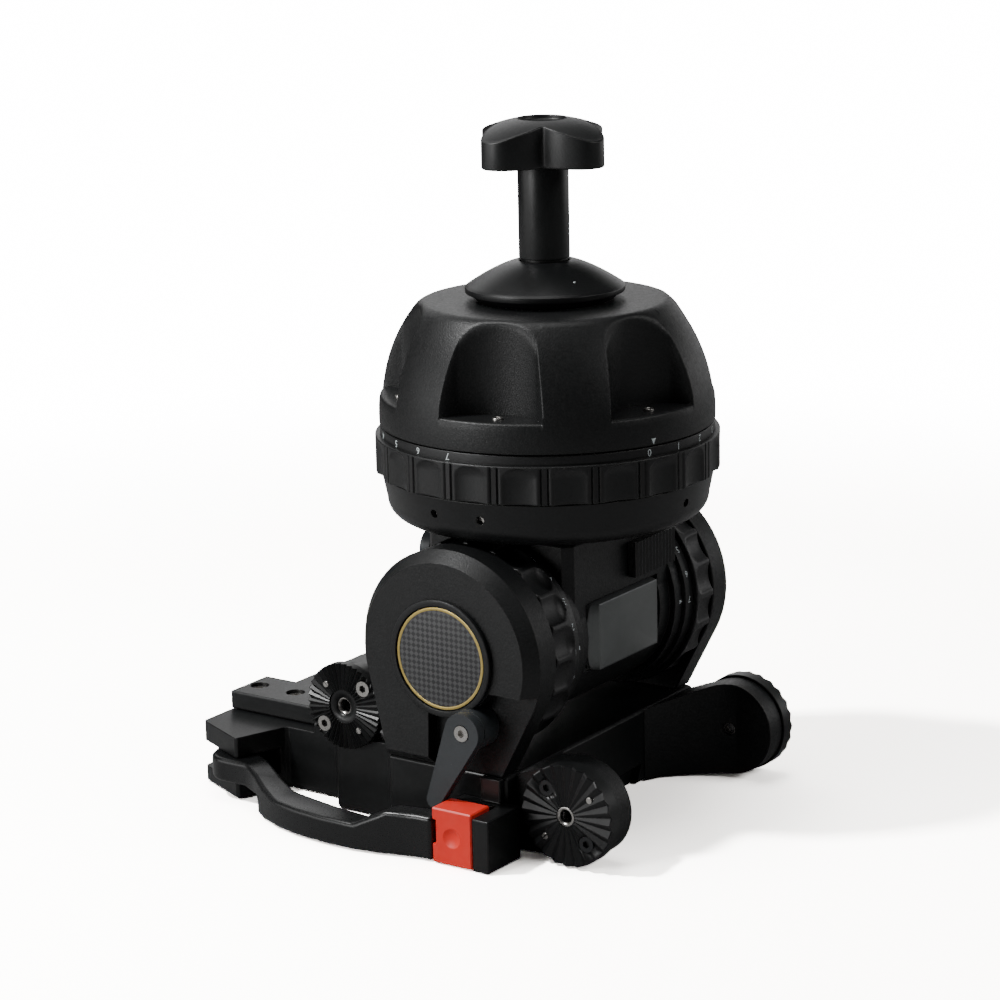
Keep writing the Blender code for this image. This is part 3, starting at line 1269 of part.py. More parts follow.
def half_ball():
    """The bowl ball: a sphere cut flat on top, six arched pockets, and a hollow underneath."""
    skirt = asin(-BALL_SKIRT / BALL_RADIUS)
    flat = BALL_TOP
    shoulder = BALL_SHOULDER
    # The shoulder's arc touches the flat top and the sphere from inside
    centre_height = flat - shoulder
    centre_radius = sqrt((BALL_RADIUS - shoulder) ** 2 - centre_height**2)
    touch = atan2(centre_height, centre_radius)
    rounding = arc((centre_radius, centre_height), shoulder, pi / 2, touch, 3)
    sphere = arc((0, 0), BALL_RADIUS, touch, skirt, 10)
    hub = PAN_SHAFT_RADIUS + BEARING_WALL + SEAT_GAP
    cavity_top = -BALL_SKIRT + BALL_CAVITY_HEIGHT
    bearing_top = -BALL_SKIRT + PAN_SHAFT_RISE + SEAT_GAP
    hub_wall = hub + BEARING_WALL / 2
    profile = [(0, flat)] + rounding + sphere[1:]
    profile += [
        (BALL_CAVITY_RADIUS, -BALL_SKIRT),
        (BALL_CAVITY_RADIUS, cavity_top),
        (hub_wall, cavity_top),
        (hub_wall, -BALL_SKIRT),
        (hub, -BALL_SKIRT),
        (hub, bearing_top),
        (0, bearing_top),
    ]
    ball = turned("half_ball", profile, BALL_STEPS, centre=(0, 0, BALL_CENTRE))
    floor = BALL_CENTRE + POCKET_FLOOR
    for i in range(POCKET_COUNT):
        azimuth = POCKET_AZIMUTH + 2 * pi * i / POCKET_COUNT
        pocket = slab("pocket", pocket_outline(), floor, BALL_CENTRE + BALL_RADIUS)
        pocket.rotation_euler.z = azimuth
        cut(ball, pocket)
    stud_seat = (0, 0, BALL_TOP_HEIGHT - STUD_ENGAGEMENT)
    seat = STUD_RADIUS + SEAT_GAP
    cut(ball, rod("stud_seat", seat, stud_seat, (0, 0, BALL_TOP_HEIGHT + OVERRUN), 24))
    finish(ball, "black_paint")


def tie_down_stud():
    low = (0, 0, BALL_TOP_HEIGHT - STUD_ENGAGEMENT + SEAT_GAP)
    high = (0, 0, SLEEVE_TOP - STUD_ENGAGEMENT)
    finish(rod("tie_down_stud", STUD_RADIUS, low, high, 24), "steel")


def clamp_cap():
    """The domed cap that pulls up against the tripod's bowl."""
    steps = 5
    rise = CAP_RISE
    reach = CAP_RADIUS - CAP_BORE_RADIUS
    dome = [
        (CAP_BORE_RADIUS + reach * i / steps, CAP_RIM_TOP + rise * (1 - (i / steps) ** 1.4))
        for i in range(steps + 1)
    ]
    wall = CAP_WALL
    inside_rise = CAP_RIM_TOP - wall / 2 + rise - wall / 2
    inside = [
        (CAP_RADIUS - wall, CAP_FLOOR),
        (CAP_RADIUS - wall, CAP_RIM_TOP - wall / 2),
        (CAP_BORE_RADIUS + wall / 2, inside_rise - wall / 2),
        (CAP_BORE_RADIUS, inside_rise - wall / 2),
    ]
    cap = turned("clamp_cap", dome + [(CAP_RADIUS, CAP_FLOOR)] + inside, 32)
    finish(cap, "black_anodised")


def tie_down_sleeve():
    """The threaded sleeve: a neck in the cap's bore, a shoulder on the cap, the knob on its end."""
    bore = STUD_RADIUS + RUN_GAP
    bottom = CAP_TOP - SLEEVE_NECK_LENGTH + SLEEVE_NECK_SHOWN
    profile = [
        (bore, SLEEVE_TOP),
        (SLEEVE_RADIUS, SLEEVE_TOP),
        (SLEEVE_RADIUS, SLEEVE_SHOULDER),
        (SLEEVE_NECK_RADIUS, SLEEVE_SHOULDER),
        (SLEEVE_NECK_RADIUS, bottom),
        (bore, bottom),
    ]
    finish(turned("tie_down_sleeve", profile, 28), "black_anodised")


def tie_down_knob():
    """The four-lobed knob, its top domed, with a round recess in the middle."""
    centre_step = 2 * pi / KNOB_LOBES
    waist_half = radians(90) - centre_step / 2
    outline = []
    for i in range(KNOB_LOBES):
        aim = KNOB_TURN + i * centre_step
        middle = (KNOB_LOBE_CENTRE * cos(aim), KNOB_LOBE_CENTRE * sin(aim))
        outline += arc(middle, KNOB_LOBE_RADIUS, aim - waist_half * 1.5, aim + waist_half * 1.5, 8)
        between = aim + centre_step / 2
        outline.append((KNOB_WAIST * cos(between), KNOB_WAIST * sin(between)))
    high = KNOB_FLOOR + KNOB_HEIGHT + KNOB_DOME_RADIUS / 4
    knob = slab("tie_down_knob", outline, KNOB_FLOOR, high)
    reach = KNOB_LOBE_CENTRE + KNOB_LOBE_RADIUS
    drop = KNOB_DOME_RADIUS - sqrt(KNOB_DOME_RADIUS**2 - reach**2)
    dome_top = KNOB_FLOOR + KNOB_HEIGHT + drop
    steps = 4
    outside = KNOB_DOME_RADIUS * sin(acos(1 - drop * 1.3 / KNOB_DOME_RADIUS))
    dome = [(0, dome_top)]
    for i in range(1, steps + 1):
        radius = outside * i / steps
        dome.append((radius, dome_top - KNOB_DOME_RADIUS + sqrt(KNOB_DOME_RADIUS**2 - radius**2)))
    dome += [(outside, KNOB_FLOOR - OVERRUN), (0, KNOB_FLOOR - OVERRUN)]
    keep_inside(knob, turned("knob_dome", dome, 28))
    recess_low = (0, 0, dome_top - KNOB_RECESS_DEPTH)
    cut(knob, rod("knob_recess", KNOB_RECESS_RADIUS, recess_low, (0, 0, dome_top + OVERRUN), 28))
    finish(knob, "black_plastic")


def pan_lock():
    """The pan lock on the rear of the neck: a hub and a short lever that turn about Y."""
    x = -NECK_HALF_WIDTH / 2
    z = TILT_AXIS_HEIGHT + NECK_HALF_DEPTH * 3 / 4
    start = NECK_HALF_DEPTH + SEAT_GAP
    end = start + PAN_LOCK_HUB_LENGTH
    lever = rod("pan_lock_lever", PAN_LOCK_HUB_RADIUS, (x, start, z), (x, end, z), 24)
    tip = (x + PAN_LOCK_LEVER_LENGTH, z)
    aim = 0
    taper = asin((PAN_LOCK_HEAD_RADIUS - PAN_LOCK_TIP_RADIUS) / PAN_LOCK_LEVER_LENGTH)
    quarter = pi / 2 - taper
    outline = arc(tip, PAN_LOCK_TIP_RADIUS, aim - quarter, aim + quarter, 6)
    outline += arc((x, z), PAN_LOCK_HEAD_RADIUS, aim + quarter, aim + 2 * pi - quarter, 16)
    join(lever, slab("pan_lock_plate", outline, end - SEAT_GAP, end + PAN_LOCK_LEVER_THICKNESS, "Y"))
    finish(set_origin(baked(lever), (x, start, z)), "grey_lever")


def build():
    clear_scene()
    camera_plate()
    camera_screws()
    platform_deck()
    clamp_jaw()
    lever_pin()
    release_lever()
    release_latch()
    latch_housing()
    tail_block()
    arm("near_arm", -1, True)
    arm("far_arm", 1, False)
    badge("near_badge", -1)
    tilt_shaft()
    tilt_lock_lever()
    for side, word in ((-1, "near"), (1, "far")):
        rosettes(side, word)
        front_bracket(f"front_bracket_{word}", side)
        rear_bracket(f"rear_bracket_{word}", side)
        tilt_ring(f"{word}_tilt_ring", side)
        ring_hub(f"{word}_ring_hub", side)
        tilt_bearing(f"{word}_tilt_bearing", side)
    tilt_housing()
    housing_pad()
    ribbed_cover()
    chamber_pack("tilt_drag_discs", 1, 2, "friction_disc")
    chamber_pack("counterbalance_springs", -1, 2, "spring_steel")
    pan_base()
    pan_shaft()
    pan_drag_ring()
    pan_drag_discs()
    pan_bearing()
    half_ball()
    tie_down_stud()
    clamp_cap()
    tie_down_sleeve()
    tie_down_knob()
    pan_lock()


build()
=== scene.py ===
from math import acos, asin, atan2, cos, hypot, pi, radians, sin, sqrt

import bmesh
import bpy
import numpy as np
from mathutils import Matrix, Vector


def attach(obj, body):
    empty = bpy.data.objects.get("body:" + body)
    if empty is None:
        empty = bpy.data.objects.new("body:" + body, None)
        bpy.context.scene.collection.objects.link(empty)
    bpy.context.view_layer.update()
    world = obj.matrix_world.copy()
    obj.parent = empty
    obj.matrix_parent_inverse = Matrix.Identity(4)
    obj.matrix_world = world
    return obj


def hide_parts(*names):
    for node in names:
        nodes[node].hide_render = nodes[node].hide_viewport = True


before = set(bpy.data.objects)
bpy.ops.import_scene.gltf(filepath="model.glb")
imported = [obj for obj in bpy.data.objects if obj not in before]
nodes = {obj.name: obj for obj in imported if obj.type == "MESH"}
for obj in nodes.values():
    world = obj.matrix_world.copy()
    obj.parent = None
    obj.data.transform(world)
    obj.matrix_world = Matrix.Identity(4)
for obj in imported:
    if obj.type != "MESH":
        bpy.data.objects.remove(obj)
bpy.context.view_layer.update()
print("stage: frame loaded,", len(nodes), "nodes")

mm = 0.001  # lengths below are in millimetres times this


# ---- node groups ----
# A group is a colour, mask or bump worked out from a position, used by several materials


def newGroup(name, inputs, outputs):
    group = bpy.data.node_groups.new(name, "ShaderNodeTree")
    for label, kind, value in inputs:
        socket = group.interface.new_socket(label, in_out="INPUT", socket_type=kind)
        if value is not None:
            socket.default_value = value
    for label, kind in outputs:
        group.interface.new_socket(label, in_out="OUTPUT", socket_type=kind)
    return group, group.nodes.new("NodeGroupInput"), group.nodes.new("NodeGroupOutput")


def addNode(tree, kind, **settings):
    node = tree.nodes.new(kind)
    for key, value in settings.items():
        if key == "inputs":
            for socket, number in value.items():
                node.inputs[socket].default_value = number
        else:
            setattr(node, key, value)
    return node


def grainGroup():
    # Cast or sprayed grain: two sizes of noise summed into one height, and a slow cloud for tone
    group, source, result = newGroup(
        "grain",
        [("Position", "NodeSocketVector", None), ("Size", "NodeSocketFloat", 900.0), ("Coarse", "NodeSocketFloat", 0.35)],
        [("Height", "NodeSocketFloat"), ("Cloud", "NodeSocketFloat")],
    )
    link = group.links.new
    fine = addNode(group, "ShaderNodeTexNoise", inputs={"Detail": 2.0, "Roughness": 0.55})
    link(source.outputs["Position"], fine.inputs["Vector"])
    link(source.outputs["Size"], fine.inputs["Scale"])
    third = addNode(group, "ShaderNodeMath", operation="MULTIPLY", inputs={1: 0.31})
    link(source.outputs["Size"], third.inputs[0])
    coarse = addNode(group, "ShaderNodeTexNoise", inputs={"Detail": 3.0, "Roughness": 0.5})
    link(source.outputs["Position"], coarse.inputs["Vector"])
    link(third.outputs[0], coarse.inputs["Scale"])
    mixed = addNode(group, "ShaderNodeMix")
    link(source.outputs["Coarse"], mixed.inputs["Factor"])
    link(fine.outputs[0], mixed.inputs["A"])
    link(coarse.outputs[0], mixed.inputs["B"])
    cloud = addNode(group, "ShaderNodeTexNoise", inputs={"Scale": 22.0, "Detail": 4.0, "Roughness": 0.6})
    link(source.outputs["Position"], cloud.inputs["Vector"])
    link(mixed.outputs[0], result.inputs["Height"])
    link(cloud.outputs[0], result.inputs["Cloud"])
    return group


def dustGroup():
    # Specks of dust: the cores of large Voronoi cells, thinned by a slow noise
    group, source, result = newGroup(
        "dust",
        [("Position", "NodeSocketVector", None), ("Size", "NodeSocketFloat", 260.0), ("Amount", "NodeSocketFloat", 0.12)],
        [("Mask", "NodeSocketFloat")],
    )
    link = group.links.new
    cells = addNode(group, "ShaderNodeTexVoronoi", inputs={"Randomness": 1.0})
    link(source.outputs["Position"], cells.inputs["Vector"])
    link(source.outputs["Size"], cells.inputs["Scale"])
    core = addNode(group, "ShaderNodeMapRange", inputs={"From Min": 0.10, "From Max": 0.02})
    link(cells.outputs["Distance"], core.inputs["Value"])
    drift = addNode(group, "ShaderNodeTexNoise", inputs={"Scale": 45.0, "Detail": 1.0})
    link(source.outputs["Position"], drift.inputs["Vector"])
    gate = addNode(group, "ShaderNodeMapRange", inputs={"From Min": 0.56, "From Max": 0.66})
    link(drift.outputs[0], gate.inputs["Value"])
    both = addNode(group, "ShaderNodeMath", operation="MULTIPLY")
    link(core.outputs[0], both.inputs[0])
    link(gate.outputs[0], both.inputs[1])
    scaled = addNode(group, "ShaderNodeMath", operation="MULTIPLY")
    link(both.outputs[0], scaled.inputs[0])
    link(source.outputs["Amount"], scaled.inputs[1])
    link(scaled.outputs[0], result.inputs["Mask"])
    return group


def wearGroup():
    # Rubbed edges: where the mesh is sharply convex, broken up by noise
    group, source, result = newGroup(
        "wear",
        [("Position", "NodeSocketVector", None), ("Amount", "NodeSocketFloat", 0.5)],
        [("Mask", "NodeSocketFloat")],
    )
    link = group.links.new
    geometry = addNode(group, "ShaderNodeNewGeometry")
    convex = addNode(group, "ShaderNodeMapRange", inputs={"From Min": 0.53, "From Max": 0.62})
    link(geometry.outputs["Pointiness"], convex.inputs["Value"])
    noise = addNode(group, "ShaderNodeTexNoise", inputs={"Scale": 160.0, "Detail": 4.0, "Roughness": 0.7})
    link(source.outputs["Position"], noise.inputs["Vector"])
    broken = addNode(group, "ShaderNodeMapRange", inputs={"From Min": 0.42, "From Max": 0.68})
    link(noise.outputs[0], broken.inputs["Value"])
    both = addNode(group, "ShaderNodeMath", operation="MULTIPLY")
    link(convex.outputs[0], both.inputs[0])
    link(broken.outputs[0], both.inputs[1])
    scaled = addNode(group, "ShaderNodeMath", operation="MULTIPLY", use_clamp=True)
    link(both.outputs[0], scaled.inputs[0])
    link(source.outputs["Amount"], scaled.inputs[1])
    link(scaled.outputs[0], result.inputs["Mask"])
    return group


def weaveGroup():
    # A woven cloth under lacquer: a checker turned by 45 degrees, each cell ribbed along its own threads
    group, source, result = newGroup(
        "weave",
        [("Position", "NodeSocketVector", None), ("Cells", "NodeSocketFloat", 620.0)],
        [("Mask", "NodeSocketFloat"), ("Height", "NodeSocketFloat")],
    )
    link = group.links.new
    turned = addNode(group, "ShaderNodeMapping", inputs={"Rotation": (radians(45), 0, 0), "Scale": (0, 1, 1)})
    link(source.outputs["Position"], turned.inputs["Vector"])
    cells = addNode(group, "ShaderNodeTexChecker", inputs={"Color1": (0, 0, 0, 1), "Color2": (1, 1, 1, 1)})
    link(turned.outputs[0], cells.inputs["Vector"])
    link(source.outputs["Cells"], cells.inputs["Scale"])
    threads = []
    for direction in ("Y", "Z"):
        wave = addNode(group, "ShaderNodeTexWave", bands_direction=direction, inputs={"Scale": 420.0})
        link(turned.outputs[0], wave.inputs["Vector"])
        threads.append(wave)
    mixed = addNode(group, "ShaderNodeMix")
    link(cells.outputs["Fac"], mixed.inputs["Factor"])
    link(threads[0].outputs["Fac"], mixed.inputs["A"])
    link(threads[1].outputs["Fac"], mixed.inputs["B"])
    link(cells.outputs["Fac"], result.inputs["Mask"])
    link(mixed.outputs[0], result.inputs["Height"])
    return group


groups = {"grain": grainGroup(), "dust": dustGroup(), "wear": wearGroup(), "weave": weaveGroup()}


def coatMaterial(name, look):
    # One coated or bare surface: grain in colour, roughness and bump, rubbed edges, a little dust
    made = bpy.data.materials.new(name)
    made.use_nodes = True
    tree = made.node_tree
    link = tree.links.new
    shader = tree.nodes["Principled BSDF"]
    shader.inputs["Metallic"].default_value = look.get("metallic", 0.0)
    shader.inputs["Specular IOR Level"].default_value = look.get("specular", 0.5)
    shader.inputs["Coat Weight"].default_value = look.get("coat", 0.0)
    shader.inputs["Coat Roughness"].default_value = look.get("coatRoughness", 0.2)
    place = addNode(tree, "ShaderNodeTexCoord")
    grain = addNode(tree, "ShaderNodeGroup", node_tree=groups["grain"])
    grain.inputs["Size"].default_value = look.get("grainSize", 900.0)
    grain.inputs["Coarse"].default_value = look.get("coarse", 0.35)
    link(place.outputs["Object"], grain.inputs["Position"])
    tone = addNode(tree, "ShaderNodeMix", data_type="RGBA")
    tone.inputs["A"].default_value = (*look["dark"], 1)
    tone.inputs["B"].default_value = (*look["light"], 1)
    spread = addNode(tree, "ShaderNodeMapRange", inputs={"From Min": 0.35, "From Max": 0.65})
    link(grain.outputs["Cloud"], spread.inputs["Value"])
    link(spread.outputs[0], tone.inputs["Factor"])
    wear = addNode(tree, "ShaderNodeGroup", node_tree=groups["wear"])
    wear.inputs["Amount"].default_value = look.get("wear", 0.0)
    link(place.outputs["Object"], wear.inputs["Position"])
    rubbed = addNode(tree, "ShaderNodeMix", data_type="RGBA")
    rubbed.inputs["B"].default_value = (*look.get("bare", (0.2, 0.2, 0.2)), 1)
    link(wear.outputs["Mask"], rubbed.inputs["Factor"])
    link(tone.outputs["Result"], rubbed.inputs["A"])
    dust = addNode(tree, "ShaderNodeGroup", node_tree=groups["dust"])
    dust.inputs["Amount"].default_value = look.get("dust", 0.0)
    link(place.outputs["Object"], dust.inputs["Position"])
    dusty = addNode(tree, "ShaderNodeMix", data_type="RGBA")
    dusty.inputs["B"].default_value = (0.32, 0.31, 0.30, 1)
    link(dust.outputs["Mask"], dusty.inputs["Factor"])
    link(rubbed.outputs["Result"], dusty.inputs["A"])
    link(dusty.outputs["Result"], shader.inputs["Base Color"])
    rough = addNode(tree, "ShaderNodeMapRange", inputs={"From Min": 0.3, "From Max": 0.7})
    low, high = look["roughness"]
    rough.inputs["To Min"].default_value = low
    rough.inputs["To Max"].default_value = high
    link(grain.outputs["Height"], rough.inputs["Value"])
    link(rough.outputs[0], shader.inputs["Roughness"])
    bump = addNode(tree, "ShaderNodeBump")
    bump.inputs["Strength"].default_value = look.get("bump", 0.3)
    bump.inputs["Distance"].default_value = look.get("depth", 0.00008)
    link(grain.outputs["Height"], bump.inputs["Height"])
    link(bump.outputs[0], shader.inputs["Normal"])
    return made


def wovenMaterial(name, look):
    # Lacquered woven cloth: two dark tones by cell, threads in the bump, a smooth clear coat
    made = bpy.data.materials.new(name)
    made.use_nodes = True
    tree = made.node_tree
    link = tree.links.new
    shader = tree.nodes["Principled BSDF"]
    shader.inputs["Coat Weight"].default_value = look["coat"]
    shader.inputs["Coat Roughness"].default_value = look["coatRoughness"]
    place = addNode(tree, "ShaderNodeTexCoord")
    weave = addNode(tree, "ShaderNodeGroup", node_tree=groups["weave"])
    weave.inputs["Cells"].default_value = look["cells"]
    link(place.outputs["Object"], weave.inputs["Position"])
    tone = addNode(tree, "ShaderNodeMix", data_type="RGBA")
    tone.inputs["A"].default_value = (*look["dark"], 1)
    tone.inputs["B"].default_value = (*look["light"], 1)
    link(weave.outputs["Mask"], tone.inputs["Factor"])
    link(tone.outputs["Result"], shader.inputs["Base Color"])
    rough = addNode(tree, "ShaderNodeMapRange")
    rough.inputs["To Min"].default_value, rough.inputs["To Max"].default_value = look["roughness"]
    link(weave.outputs["Mask"], rough.inputs["Value"])
    link(rough.outputs[0], shader.inputs["Roughness"])
    bump = addNode(tree, "ShaderNodeBump", inputs={"Strength": look["bump"], "Distance": look["depth"]})
    link(weave.outputs["Height"], bump.inputs["Height"])
    link(bump.outputs[0], shader.inputs["Normal"])
    return made


looks = {
    "powderBlack": {"dark": (0.0042, 0.0046, 0.0048), "light": (0.0072, 0.0078, 0.0081), "roughness": (0.36, 0.54),
                    "grainSize": 1500.0, "bump": 0.85, "depth": 0.00020, "dust": 0.05, "specular": 0.42},
    "glossBlack": {"dark": (0.0042, 0.0045, 0.0047), "light": (0.0072, 0.0077, 0.0080), "roughness": (0.24, 0.34),
                   "grainSize": 2600.0, "bump": 0.05, "depth": 0.00003, "dust": 0.03},
    "satinBlack": {"dark": (0.0042, 0.0045, 0.0047), "light": (0.0072, 0.0077, 0.0080), "roughness": (0.30, 0.44),
                   "grainSize": 2600.0, "bump": 0.18, "depth": 0.00005, "dust": 0.05, "specular": 0.42},
    "plasticBlack": {"dark": (0.0048, 0.0052, 0.0054), "light": (0.0078, 0.0083, 0.0086), "roughness": (0.36, 0.50),
                     "grainSize": 2200.0, "bump": 0.25, "depth": 0.00006, "dust": 0.12, "wear": 0.20},
    "leverGrey": {"dark": (0.026, 0.030, 0.033), "light": (0.036, 0.041, 0.045), "roughness": (0.40, 0.55),
                  "grainSize": 1800.0, "bump": 0.35, "depth": 0.00008, "dust": 0.10},
    "padGrey": {"dark": (0.115, 0.122, 0.122), "light": (0.140, 0.148, 0.148), "roughness": (0.28, 0.36),
                "grainSize": 3000.0, "bump": 0.10, "depth": 0.00004, "dust": 0.04, "metallic": 0.3},
    "screwBlack": {"dark": (0.020, 0.021, 0.022), "light": (0.034, 0.035, 0.036), "roughness": (0.30, 0.42),
                   "grainSize": 2600.0, "bump": 0.12, "depth": 0.00004, "metallic": 0.5},
    "latchRed": {"dark": (0.84, 0.024, 0.012), "light": (0.95, 0.034, 0.018), "roughness": (0.34, 0.46),
                 "grainSize": 2400.0, "bump": 0.15, "depth": 0.00005, "wear": 0.1, "bare": (0.9, 0.25, 0.2)},
    "screwSteel": {"dark": (0.40, 0.39, 0.37), "light": (0.62, 0.60, 0.57), "roughness": (0.22, 0.38), "metallic": 1.0,
                   "grainSize": 3000.0, "bump": 0.15, "depth": 0.00004},
    "insertBrass": {"dark": (0.46, 0.40, 0.30), "light": (0.66, 0.58, 0.44), "roughness": (0.25, 0.40), "metallic": 1.0,
                    "grainSize": 2600.0, "bump": 0.2, "depth": 0.00004},
    "dragPolymer": {"dark": (0.07, 0.065, 0.055), "light": (0.12, 0.11, 0.09), "roughness": (0.5, 0.7),
                    "grainSize": 1500.0, "bump": 0.3},
    "markWhite": {"dark": (0.70, 0.78, 0.78), "light": (0.82, 0.88, 0.88), "roughness": (0.45, 0.6),
                  "grainSize": 2500.0, "bump": 0.1},
    "ringGold": {"dark": (0.62, 0.46, 0.14), "light": (0.78, 0.60, 0.22), "roughness": (0.25, 0.38), "metallic": 0.9,
                 "grainSize": 2600.0, "bump": 0.1},
}
wovenLook = {"dark": (0.016, 0.016, 0.017), "light": (0.062, 0.063, 0.065), "roughness": (0.28, 0.5), "cells": 560.0,
             "bump": 0.4, "depth": 0.00006, "coat": 0.6, "coatRoughness": 0.12}
materials = {name: coatMaterial(name, look) for name, look in looks.items()}
materials["wovenBlack"] = wovenMaterial("wovenBlack", wovenLook)
print("stage: materials made")

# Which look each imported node's surface takes
nodeLooks = {
    "powderBlack": ["near_arm", "far_arm", "half_ball", "tilt_housing", "front_bracket_near", "front_bracket_far",
                    "release_lever"],
    "satinBlack": ["platform_deck", "latch_housing", "tail_block", "rear_bracket_near", "rear_bracket_far",
                   "front_rosette_near", "front_rosette_far", "rear_rosette_near", "rear_rosette_far", "camera_plate",
                   "pan_base", "clamp_cap", "tie_down_sleeve"],
    "plasticBlack": ["near_tilt_ring", "far_tilt_ring", "pan_drag_ring", "tie_down_knob", "ribbed_cover",
                     "near_ring_hub", "far_ring_hub", "near_badge"],
    "leverGrey": ["tilt_lock_lever", "pan_lock_lever"],
    "padGrey": ["housing_pad"],
    "latchRed": ["release_latch"],
    "dragPolymer": ["tilt_drag_discs", "pan_drag_discs"],
}
lookOf = {node: look for look, members in nodeLooks.items() for node in members}
lookOf.update({name: "screwBlack" for name in nodes if name.startswith("front_rosette") and "screw" in name})
for name, node in nodes.items():
    node.data.materials.clear()
    node.data.materials.append(materials[lookOf.get(name, "screwSteel")])


# ---- camera, floor and light ----

cameraSettings = {
    "lens": 108.0,
    "place": (-1.0842063, -0.7299636, 0.4672452),
    "right": (0.5678377, -0.8228731, -0.0209833),
    "up": (0.2120876, 0.1216285, 0.9696522),
}


def placeCamera(settings):
    data = bpy.data.cameras.new("camera")
    data.lens = settings["lens"]
    data.sensor_width = 36.0
    data.clip_start = 0.05
    camera = bpy.data.objects.new("camera", data)
    bpy.context.scene.collection.objects.link(camera)
    right, up = Vector(settings["right"]), Vector(settings["up"])
    turn = Matrix((right, up, right.cross(up))).transposed().to_4x4()
    camera.matrix_world = Matrix.Translation(settings["place"]) @ turn
    bpy.context.scene.camera = camera


placeCamera(cameraSettings)

studio = {
    "seenWhite": 16.0, "ambient": 0.035, "floorSize": 9.0, "floorSeen": 11.0, "floorBounce": 0.32,
    "glowFrom": 0.42, "glowTo": 0.95, "paper": (1.0, 0.965, 0.92),
    "lamps": [
        # name, place, aimed at, width, height, watts
        ("keyBox", (-0.68, 0.70, 1.44), (0, 0, 0.05), 0.12, 0.12, 22.0),
        ("wallBox", (1.50, 0.50, 0.45), (0, 0, 0.20), 1.6, 0.8, 4.0),
        ("edgeBox", (1.45, -0.75, 0.32), (0, 0, 0.12), 0.9, 0.5, 2.0),
        ("backBox", (0.90, 1.10, 0.95), (0, 0, 0.2), 1.2, 0.7, 3.0),
        ("topBox", (0.05, 0.10, 1.7), (0, 0, 0.1), 0.8, 0.8, 6.0),
        ("leftBox", (-1.00, 1.20, 0.40), (0, 0, 0.15), 0.8, 0.7, 3.5),
        ("rightBox", (0.35, -1.35, 1.00), (0, 0, 0.20), 0.8, 0.5, 5.0),
        ("cameraBox", (-1.50, 0.60, 0.45), (0, 0, 0.06), 0.6, 0.5, 9.0),
    ],
}


def placeLamp(name, place, aim, width, height, watts):
    data = bpy.data.lights.new(name, "AREA")
    data.shape = "RECTANGLE"
    data.size, data.size_y, data.energy = width, height, watts
    lamp = bpy.data.objects.new(name, data)
    bpy.context.scene.collection.objects.link(lamp)
    away = (Vector(place) - Vector(aim)).normalized()
    lamp.matrix_world = Matrix.Translation(place) @ away.to_track_quat("Z", "Y").to_matrix().to_4x4()


def makeWorld(settings):
    # White where the camera looks straight at it, and a dim even light for the object
    world = bpy.data.worlds.new("studio")
    bpy.context.scene.world = world
    world.use_nodes = True
    tree = world.node_tree
    seen = tree.nodes["Background"]
    seen.inputs["Color"].default_value = (1, 1, 1, 1)
    seen.inputs["Strength"].default_value = settings["seenWhite"]
    dim = addNode(tree, "ShaderNodeBackground", inputs={"Color": (1, 1, 1, 1), "Strength": settings["ambient"]})
    path = addNode(tree, "ShaderNodeLightPath")
    either = addNode(tree, "ShaderNodeMixShader")
    tree.links.new(path.outputs["Is Camera Ray"], either.inputs[0])
    tree.links.new(dim.outputs[0], either.inputs[1])
    tree.links.new(seen.outputs[0], either.inputs[2])
    tree.links.new(either.outputs[0], tree.nodes["World Output"].inputs["Surface"])


def makeFloor(settings):
    # White paper, exposed far brighter for the camera than the light that it gives back to the object,
    # and plain white beyond the reach of the lamps
    half = settings["floorSize"] / 2
    mesh = bpy.data.meshes.new("floor")
    mesh.from_pydata([(-half, -half, 0), (half, -half, 0), (half, half, 0), (-half, half, 0)], [], [(0, 1, 2, 3)])
    floor = bpy.data.objects.new("floor", mesh)
    bpy.context.scene.collection.objects.link(floor)
    paper = bpy.data.materials.new("paperWhite")
    paper.use_nodes = True
    tree = paper.node_tree
    link = tree.links.new
    tree.nodes.remove(tree.nodes["Principled BSDF"])
    tone = np.array(settings["paper"]) * settings["floorSeen"]
    seen = addNode(tree, "ShaderNodeBsdfDiffuse", inputs={"Color": (*tone.tolist(), 1)})
    glow = addNode(tree, "ShaderNodeEmission", inputs={"Color": (1, 1, 1, 1), "Strength": settings["seenWhite"]})
    plain = addNode(tree, "ShaderNodeBsdfDiffuse", inputs={"Color": (*[settings["floorBounce"]] * 3, 1)})
    place = addNode(tree, "ShaderNodeTexCoord")
    reach = addNode(tree, "ShaderNodeVectorMath", operation="LENGTH")
    link(place.outputs["Object"], reach.inputs[0])
    fade = addNode(tree, "ShaderNodeMapRange", interpolation_type="SMOOTHSTEP")
    fade.inputs["From Min"].default_value, fade.inputs["From Max"].default_value = settings["glowFrom"], settings["glowTo"]
    link(reach.outputs["Value"], fade.inputs["Value"])
    far = addNode(tree, "ShaderNodeMixShader")
    link(fade.outputs[0], far.inputs[0])
    link(seen.outputs[0], far.inputs[1])
    link(glow.outputs[0], far.inputs[2])
    path = addNode(tree, "ShaderNodeLightPath")
    either = addNode(tree, "ShaderNodeMixShader")
    link(path.outputs["Is Camera Ray"], either.inputs[0])
    link(plain.outputs[0], either.inputs[1])
    link(far.outputs[0], either.inputs[2])
    link(either.outputs[0], tree.nodes["Material Output"].inputs["Surface"])
    mesh.materials.append(paper)


makeWorld(studio)
makeFloor(studio)
for lamp in studio["lamps"]:
    placeLamp(*lamp)
print("stage: camera, floor and lamps set")

# ---- making pieces ----


